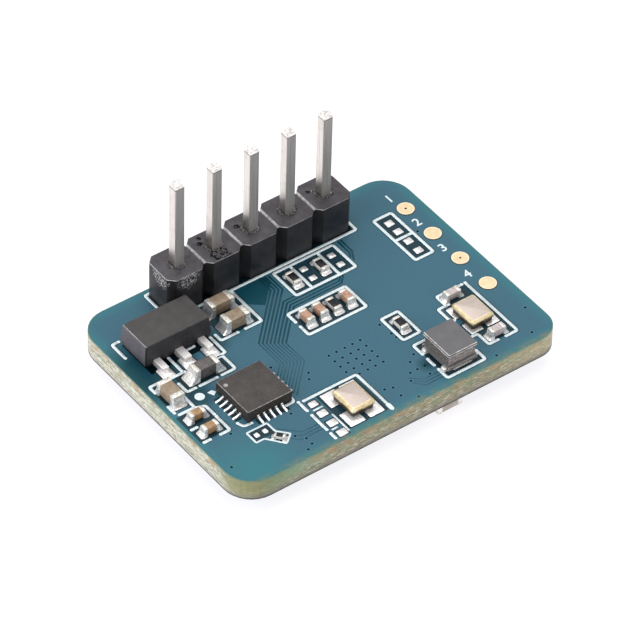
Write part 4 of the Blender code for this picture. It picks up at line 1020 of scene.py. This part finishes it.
def fillet(length, width, height, band, reach, climb, hollow):
    """Solder round one end of a chip, from its pad up to a share of its height."""
    inner, sections = length / 2 - band + 0.02, []
    for share in (0.0, 0.08, 0.2, 0.35, 0.55, 0.78, 1.0):
        outer = length / 2 + 0.015 + reach * (1.0 - share) ** hollow
        wide = width + 0.03 + 0.14 * (1.0 - share) ** 2
        sections.append((PASTE + share * (SEAT + height * climb), outer - inner, wide, (outer + inner) / 2))
    return loft(sections, min(0.14, width * 0.25), 3)


def chip(node, size, band, reach, turned, body, slot, under=False, climb=0.66, hollow=2.4):
    """A chip in place of its node: body, two ends and two fillets. Glaze lies on a white tile."""
    x, y, _ = middle_of(node)
    length, width, height = size
    middle = SEAT + height / 2
    if body is RESISTOR_GLAZE:
        tile = rounded_box((length - 0.05, width - 0.02, height - 0.06), 0, middle - 0.02, 0.02)
        glaze = rounded_box((length - 2 * band + 0.03, width - 0.05, 0.06), 0, SEAT + height - 0.035, 0.025)
        solids = [(tile, 3), (glaze, 0)]
    else:
        solids = [(rounded_box((length - 0.08, width - 0.036, height - 0.036), 0, middle, 0.03), 0)]
    for angle, share in ((0.0, LESS_SOLDER), (math.pi, 1.0)):
        metal = rounded_box((band, width, height), (length - band) / 2, middle, END_ROUNDING, 3)
        solder = fillet(length, width, height, band, reach * share, climb, hollow)
        solids += [(turn_round(metal, angle), 1), (turn_round(solder, angle), 2)]
    placed = [(stand(shape, x, y, turned, under), number) for shape, number in solids]
    piece = assemble(node + "_dressed", placed, [body, PLATED_END, SOLDER, ALUMINA], 46.0)
    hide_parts(node)


SIZE_0603, SIZE_0402 = (1.6, 0.8, 0.78), (1.0, 0.5, 0.5)
TILE_0402, SIZE_0201 = (1.0, 0.5, 0.34), (0.62, 0.31, 0.26)
ALONG_X, ALONG_Y = 0.0, math.pi / 2
CHIPS = [  # node, size, width of an end, reach of the solder, direction, finish, slot
    *((f"regulator_capacitor_{number}", SIZE_0603, 0.34, 0.27, ALONG_X, TAN_CERAMIC, "tan_ceramic")
      for number in (1, 2)),
    ("edge_capacitor", SIZE_0603, 0.36, 0.2, ALONG_Y, TAN_CERAMIC, "tan_ceramic"),
    *((f"decoupling_capacitor_{number}", SIZE_0402, 0.24, 0.24, ALONG_X, UMBER_CERAMIC, "brown_ceramic")
      for number in (1, 2)),
    *((f"filter_capacitor_{number}", SIZE_0402, 0.24, 0.24, ALONG_Y, BROWN_CERAMIC, "brown_ceramic")
      for number in (1, 2, 3)),
    *((f"crystal_capacitor_{number}", SIZE_0402, 0.24, 0.22, ALONG_X, PALE_CERAMIC, "pale_ceramic")
      for number in (1, 2)),
    ("ferrite_bead", SIZE_0603, 0.3, 0.48, ALONG_X, BLACK_CERAMIC, "dark_ceramic", False, 0.82, 1.7),
    *((node, TILE_0402, 0.22, 0.22, ALONG_Y, RESISTOR_GLAZE, "dark_ceramic")
      for node in ("header_resistor_1", "header_resistor_2", "filter_resistor", "feedback_resistor")),
    ("tiny_resistor", SIZE_0201, 0.15, 0.15, math.radians(-49.0), RESISTOR_GLAZE, "dark_ceramic"),
]
for row in CHIPS:
    chip(*row)
print("chips on top:", len(CHIPS))

# %% The dark ground under the chips
grounds = []
for node, (length, width, _), _, reach, turned, *_ in CHIPS:
    grounds.append(moat(*middle_of(node)[:2], length + 2 * reach, width + 0.16, turned))
print("chip grounds:", len(grounds))
plain("chip_grounds", grounds, MASK_IN_SHADE)

# %% [markdown]
# ## The regulator
# Its epoxy body was moulded between two steel halves, so its sides lean in a little above and below
# the parting line, and its edges are sharp but not knife-sharp. A loft of rounded rectangles gives
# both. The leads and the heat tab keep their CAD solids, and each toe sits in a puddle of solder.

# %% Regulator body and solder
x, y, (length, depth, _) = middle_of("regulator_body")
MOULDING = ((0.03, 0.2), (0.45, 0.0), (0.49, 0.0), (1.47, 0.22), (1.51, 0.25), (1.53, 0.31))
body = stepped(length, depth, MOULDING, 0.08)
regulator = plain("regulator_moulding", [stand(body, x, y)], REGULATOR_EPOXY, 20.0)
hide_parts("regulator_body")
# Painted shadow: a near-black patch in front of the regulator's wall and between its leads.
bed = patch(x, y - 0.35, length - 0.1, depth + 0.35, FILM_TOP, FILM_TOP + 9 * SHEET)
plain("regulator_painted_shadow", [bed], DEEP_SHADE)
print("regulator dressed at", round(x, 2), round(y, 2))


def puddle(x, y, length, width, height, turned=0.0):
    """A low mound of solder with a rounded top."""
    sections = [(PASTE, length, width, 0), (PASTE + height * 0.35, length - 0.04, width - 0.04, 0),
                (PASTE + height * 0.75, length * 0.86, width * 0.82, 0),
                (PASTE + height, length * 0.6, width * 0.5, 0)]
    return stand(loft(sections, 0.1, 3), x, y, turned)


toes = []
for node, width in (("regulator_input_lead", 0.8), ("regulator_tab", 0.86), ("regulator_output_lead", 0.8)):
    toes.append((middle_of(node)[0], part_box(node)[0].y / MM + 0.02, 0.95, width))
tab_x, tab_back = middle_of("regulator_tab")[0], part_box("regulator_tab")[1].y / MM
puddles = [puddle(*toe, 0.14, ALONG_Y) for toe in toes] + [puddle(tab_x, tab_back - 0.15, 2.0, 0.7, 0.1)]
plain("regulator_solder", puddles, SOLDER)
plain("regulator_grounds", [moat(*toe, ALONG_Y) for toe in toes], MASK_IN_SHADE)
print("puddles:", len(puddles))

# %% [markdown]
# ## Leadless packages
# The controller and the radar chip are sawn from a moulded sheet, so their walls are upright and
# their lands end flush in them. What shows is a row of bright stripes on each side: the end of each
# land and the solder that runs from it onto its pad. The package maker lays one side's stripes and
# repeats them round the other three.

# %% The package maker
tree, shader, LASER_GREY = new_finish("laser_grey", 0.7)
paint(tree, shader, mix(grain(tree, 0.05, 2.0), (0.22, 0.21, 0.2), (0.42, 0.41, 0.4)))
LAND_PITCH, LAND_SIZE, LAND_INSET = 0.4, (0.35, 0.145, 0.2), 0.155
DOT_RADIUS = 0.13
RUNS = ((0.012, 0.53, 0.145), (0.045, 0.5, 0.135), (0.085, 0.26, 0.125), (0.18, 0.06, 0.115))
SAWN = ((0.05, 0.0), (-0.03, 0.0), (-0.008, 0.03), (0.0, 0.07))


def package(node, side, height, lands, dot, under=False):
    """A leadless package in place of its node."""
    x, y, _ = middle_of(node)
    edge, top = side / 2, SEAT + height
    steps = SAWN[:1] + tuple((top + below, loss) for below, loss in SAWN[1:])
    solids = [(stepped(side, side, steps, 0.03), 0)]
    for quarter in range(4):
        for index in range(lands):
            along = (index - (lands - 1) / 2) * LAND_PITCH
            land = rounded_box(LAND_SIZE, edge - LAND_INSET, SEAT + LAND_SIZE[2] / 2, 0.012, 1)
            run = [(level, out + 0.1, width, edge + (out - 0.1) / 2) for level, out, width in RUNS]
            for shape, number in ((land, 1), (loft(run, 0.03), 2)):
                solids.append((turn_round(shift(shape, 0, along), quarter * math.pi / 2), number))
    solids.append((disc(*dot, DOT_RADIUS, (top - 0.001) * MM, (top + 0.003) * MM, 20), 3))
    placed = [(stand(shape, x, y, 0.0, under), number) for shape, number in solids]
    piece = assemble(node + "_dressed", placed, [CONTROLLER_EPOXY, LEAD_TIN, SOLDER, LASER_GREY])
    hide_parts(node)
    reach, span, strips = 0.42, lands * LAND_PITCH + 0.1, []
    for quarter in range(4):
        strip = loft([(level, reach, span, edge + reach / 2 + 0.05) for level in (0.01, 0.0125)], 0.04)
        strips.append(stand(strip, x, y, quarter * math.pi / 2, under))
    plain(node + "_grounds", strips, MASK_IN_SHADE)


package("controller", 3.0, 0.75, 5, (-1.22, 0.95))
print("controller dressed")

# %% [markdown]
# ## The two crystals
# A crystal sits in a dark ceramic box whose lid is welded on: a flat, satin plate of plated steel
# with a bright rounded rim that overhangs the box a little. The box is painted very dark, partly
# black ceramic and partly painted shade under the rim, and the lid's lowest edge is painted darker
# as shade. The lid is lofted with its rim in small steps. The flat top keeps hard edges, or smooth
# shading would draw a fold across it. Four large pads lie under the corners of each box.

# %% Lids and pads
BOX = ((0.03, 0.2), (0.39, 0.2))
LID = ((0.33, 0.04), (0.35, 0.0), (0.49, 0.0), (0.55, 0.07), (0.6, 0.21), (0.63, 0.37))
CRYSTAL_PADS = {"controller_crystal": ((-2.86, -1.55), (-5.08, -6.88), (1.02, 1.15)),
                "radar_crystal": ((6.93, 8.08), (-3.52, -5.0), (0.86, 0.95))}
for crystal, (across, along, size) in CRYSTAL_PADS.items():
    x, y, (width, length, _) = middle_of(crystal + "_base")
    box = stand(stepped(width, length, BOX, 0.12, 3), x, y)
    base = plain(crystal + "_box", [box], CRYSTAL_BASE)
    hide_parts(crystal + "_base")
    x, y, (width, length, _) = middle_of(crystal + "_lid")
    plate = stand(stepped(width, length, LID, 0.12, 4), x, y)
    lid = plain(crystal + "_lid_dressed", [plate], LID_METAL, 20.0)
    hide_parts(crystal + "_lid")
    corners = [(x, y, *size) for y in along for x in across]
    plain(crystal + "_pads", [cushion(*spot, 0.035) for spot in corners], PAD_TIN)
    plain(crystal + "_moats", [moat(*spot) for spot in corners], MASK_IN_SHADE)
    print(crystal, "dressed")

# %% [markdown]
# ## The power inductor
# The core is a ferrite drum with a flange at each end, and the coil round its waist is covered with
# a coat of magnetic resin that fills the waist nearly flush, its walls that face the front painted
# lighter as painted light. The upper flange is a ground plate: a painted highlight line runs along
# its top edge, and a second one along a fine lip near its lower edge. The terminals keep their CAD
# solids.

# %% The drum and its solder
x, y, (width, length, _) = middle_of("power_inductor_core")
PLATE = ((0.99, 0.05), (1.01, 0.0), (1.05, 0.0), (1.075, 0.04), (1.19, 0.04), (1.23, 0.1))
plate = stepped(width, length, PLATE, 0.04)
foot = stepped(width, length - 0.16, ((0.11, 0.0), (0.37, 0.0)), 0.06)
core = plain("power_inductor_drum", [stand(plate, x, y), stand(foot, x, y)], FERRITE, 20.0)
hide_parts("power_inductor_core")
coat = loft([(0.36, width - 0.06, length - 0.24, 0), (0.5, width - 0.1, length - 0.2, 0),
             (0.86, width - 0.1, length - 0.18, 0), (1.0, width - 0.16, length - 0.24, 0)], 0.1, 3)
coating = plain("power_inductor_coat", [stand(coat, x, y)], COIL_RESIN)
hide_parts("power_inductor_winding")
ends = [(puddle(x, y + side * (length / 2 - 0.02), 1.4, 0.12, 0.06), 1) for side in (-1, 1)]
ends += [(puddle(x + side * (width / 2 + 0.03), y + end * 0.88, 0.34, 0.42, 0.2), 0)
         for side in (-1, 1) for end in (-1, 1)]
assemble("inductor_solder", ends, [SOLDER, TERMINAL_TIN])
plain("inductor_grounds", [moat(x, y, width + 0.34, length + 0.34)], MASK_IN_SHADE)
print("inductor dressed at", round(x, 2), round(y, 2))

# %% [markdown]
# ## The header strip
# The strip is the one large moulding, and its edges matter: nylon rounds a little at each corner and
# shines there. The CAD solid already has the notches, scores and pits, so a copy of it is merged, its
# flat faces are made whole again, and a bevel goes round every sharp edge.

# %% Round the strip's edges
STRIP_ROUNDING, SHARP_ANGLE = 0.04 * MM, math.radians(30)
strip = merged_copy("header_insulator")
make_whole(strip, 0.5)
sharp = [edge for edge in strip.edges if edge.is_manifold and edge.calc_face_angle(0.0) > SHARP_ANGLE]
bmesh.ops.bevel(strip, geom=sharp, offset=STRIP_ROUNDING, offset_type="OFFSET", affect="EDGES", segments=2,
                profile=0.5, material=-1, clamp_overlap=True)
header = plain("header_strip_dressed", [strip], NYLON, 30.0)
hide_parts("header_insulator")
print("header strip faces:", len(header.data.polygons))

# %% [markdown]
# ## The pins
# A pin is cut from square wire and its end is swaged blunt: the corners are rounded by a few
# hundredths and the end slopes in just a little. A loft from tail to tip gives the wire, both
# ends and the rounded corners at once, in place of each plain CAD pin.

# %% Loft the pins
for number in range(1, 6):
    node = f"header_pin_{number}"
    x, y, (side, _, _) = middle_of(node)
    low, high = ((corner.z - TOP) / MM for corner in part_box(node))
    sections = [(low, side - 0.26, side - 0.26, 0), (low + 0.4, side, side, 0), (high - 0.3, side, side, 0),
                (high - 0.26, side - 0.03, side - 0.03, 0), (high - 0.1, side - 0.14, side - 0.12, 0.02),
                (high, side - 0.28, side - 0.26, 0.04)]
    pin = plain(node + "_dressed", [stand(loft(sections, 0.022, 1), x, y)], PIN_METAL, 25.0)
    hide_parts(node)
print("pins from", round(low, 2), "to", round(high, 2), "mm above the board")

# %% [markdown]
# ## Test pads
# The four round pads are gilded copper and keep their CAD solids. Each lies in a round opening of the
# lacquer, which shows as a thin dark ring, and the first and third have a small plated hole. A
# lighter ring along each pad's edge is a painted highlight.

# %% Rings and holes
PAD_RIM, PAD_EDGE, PAD_OPENING, PAD_HOLE = 0.45, 0.5, 0.545, 0.07
rings, highlight_rims = [], []
for number in range(1, 5):
    x, y, _ = middle_of(f"test_pad_{number}")
    pad_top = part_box(f"test_pad_{number}")[1].z
    rings.append(ring(x, y, PAD_EDGE, PAD_OPENING, FILM_TOP, FILM_TOP + 6 * SHEET, 32))
    highlight_rims.append(ring(x, y, PAD_RIM, PAD_EDGE, pad_top, pad_top + 4 * SHEET, 32))
    if number in (1, 3):
        rings.append(disc(x, y, PAD_HOLE, pad_top, pad_top + 4 * SHEET, 12))
plain("test_pad_rings", rings, MASK_IN_SHADE)
plain("test_pad_rim_highlights", highlight_rims, RIM_HIGHLIGHT)
print("rings and holes:", len(rings))

# %% [markdown]
# ## The underside
# The photograph doesn't show it, apart from the light sensor that looks out at the front. It carries
# what such a module needs: the radar chip, its few small parts, two patch antennas and the soldered
# pins. The same makers dress it, hung upside down.

# %% Dress the underside
package("radar_chip", 4.0, 0.85, 8, (-1.6, 1.6), under=True)
for number in range(1, 5):
    chip(f"radar_capacitor_{number}", SIZE_0402, 0.24, 0.22, ALONG_Y, BROWN_CERAMIC, "brown_ceramic", True)
for number in range(1, 3):
    chip(f"radar_resistor_{number}", TILE_0402, 0.22, 0.22, ALONG_X, RESISTOR_GLAZE, "dark_ceramic", True)
tree, shader, SENSOR_RESIN = new_finish("sensor_resin", 0.3, Coat_Weight=0.4, Coat_Roughness=0.1)
blush = mix(grain(tree, 0.2, 1.4), (0.27, 0.235, 0.19), (0.39, 0.345, 0.285))
paint(tree, shader, blush, spread(grain(tree, 0.1), 0.25, 0.4))
chip("light_sensor", (1.7, 0.8, 0.62), 0.34, 0.1, ALONG_X, SENSOR_RESIN, "pale_ceramic", True)

GROUND_LEVEL = FILM_UNDER - 2 * SHEET
FEED_WIDTH, FEED_CLEARANCE = 0.16, 0.3
CHIP_WINDOWS = [(f"radar_capacitor_{number}", 0.0, 0.62, 1.5) for number in range(1, 5)]
CHIP_WINDOWS += [(f"radar_resistor_{number}", 0.0, 1.5, 0.62) for number in range(1, 3)]
CHIP_WINDOWS += [("light_sensor", 0.02, 2.1, 0.9)]
windows = []
for node in ("transmitting_antenna", "receiving_antenna"):
    x, y, (width, length, _) = middle_of(node)
    windows.append((patch(x, y, width + 0.9, length + 0.7, FILM_UNDER, GROUND_LEVEL), 0))
for node, back, width, length in CHIP_WINDOWS:
    x, y, _ = middle_of(node)
    windows.append((patch(x, y + back, width, length, FILM_UNDER, GROUND_LEVEL), 1))
assemble("underside_windows", windows, [MASK_ON_LAMINATE, MASK_IN_SHADE])

FEEDS = [[(-5.2, 0.4), (-5.2, -1.2), (-4.2, -2.2), (-2.6, -2.2)],
         [(5.2, 0.4), (5.2, -1.2), (4.2, -2.2), (2.8, -2.2)],
         [(0.1, -0.9), (0.1, 1.2), (-1.2, 2.5), (-1.2, 5.4)],
         [(0.5, -0.9), (0.5, 1.4), (1.3, 2.2), (1.3, 5.4)],
         [(3.3, -6.9), (3.3, -5.6), (2.3, -4.6)], [(-2.5, -4.6), (-3.9, -6.0), (-7.5, -6.0)]]
UNDER_FRAMES = [path(-2.3, -1.5, None, -0.9, -1.7), path(2.5, -5.1, None, -5.7, 1.9), path(2.1, -6.85, 4.45),
                path(-6.5, 5.35, 6.5, 7.65, -6.5, 5.35)]
UNDER_FRAMES += [path(left, y, left + 0.9) for left in (-3.45, 2.75) for y in (-1.45, -5.15)]
walls("underside_clearances", FEEDS, FEED_CLEARANCE, GROUND_LEVEL, -SHEET, MASK_ON_LAMINATE)
walls("underside_traces", FEEDS, FEED_WIDTH, GROUND_LEVEL - SHEET, -TRACE_RISE, MASK_ON_TRACE)
walls("underside_frames", UNDER_FRAMES, INK_WIDTH, FILM_UNDER, -INK_RISE, WHITE_INK)
print("underside dressed")

# %% [markdown]
# ## Finishes for the CAD nodes that stay
# A node whose shape is right only needs a material in its first slot.

# %% Give every node its finish
KEPT = {"board": LAMINATE, "transmitting_antenna": ANTENNA, "receiving_antenna": ANTENNA}
for finish, nodes in ((TERMINAL_TIN, ("power_inductor_front_terminal", "power_inductor_back_terminal")),
                      (LEAD_TIN, ("regulator_input_lead", "regulator_output_lead", "regulator_tab")),
                      (SOLDER, [f"solder_joint_{number}" for number in range(1, 6)]),
                      (GILDING, [f"test_pad_{number}" for number in range(1, 5)])):
    KEPT.update(dict.fromkeys(nodes, finish))
for name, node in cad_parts.items():
    if not node.hide_render:
        node.data.materials.clear()
        node.data.materials.append(KEPT[name])
print("nodes kept:", len(KEPT), "of", len(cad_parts))

# %% [markdown]
# ## The floor
# The module rests on a plain pale sheet that is lit from below as well, which leaves hardly a
# shadow, as in the photograph. The floor is a stage piece, not part of the object.

# %% The floor
tree, shader, PAPER = new_finish("paper", 0.8, Emission_Color=(1.0, 0.985, 1.0), Emission_Strength=0.8)
paint(tree, shader, mix(grain(tree, 8.0), (0.27, 0.26, 0.28), (0.29, 0.28, 0.3)))
FLOOR_REACH = 1.5
sheet = bmesh.new()
bmesh.ops.create_grid(sheet, x_segments=2, y_segments=2, size=FLOOR_REACH)
mesh = bpy.data.meshes.new("floor")
sheet.to_mesh(mesh)
sheet.free()
mesh.materials.append(PAPER)
floor = bpy.data.objects.new("floor", mesh)
bpy.context.scene.collection.objects.link(floor)
print("floor laid")
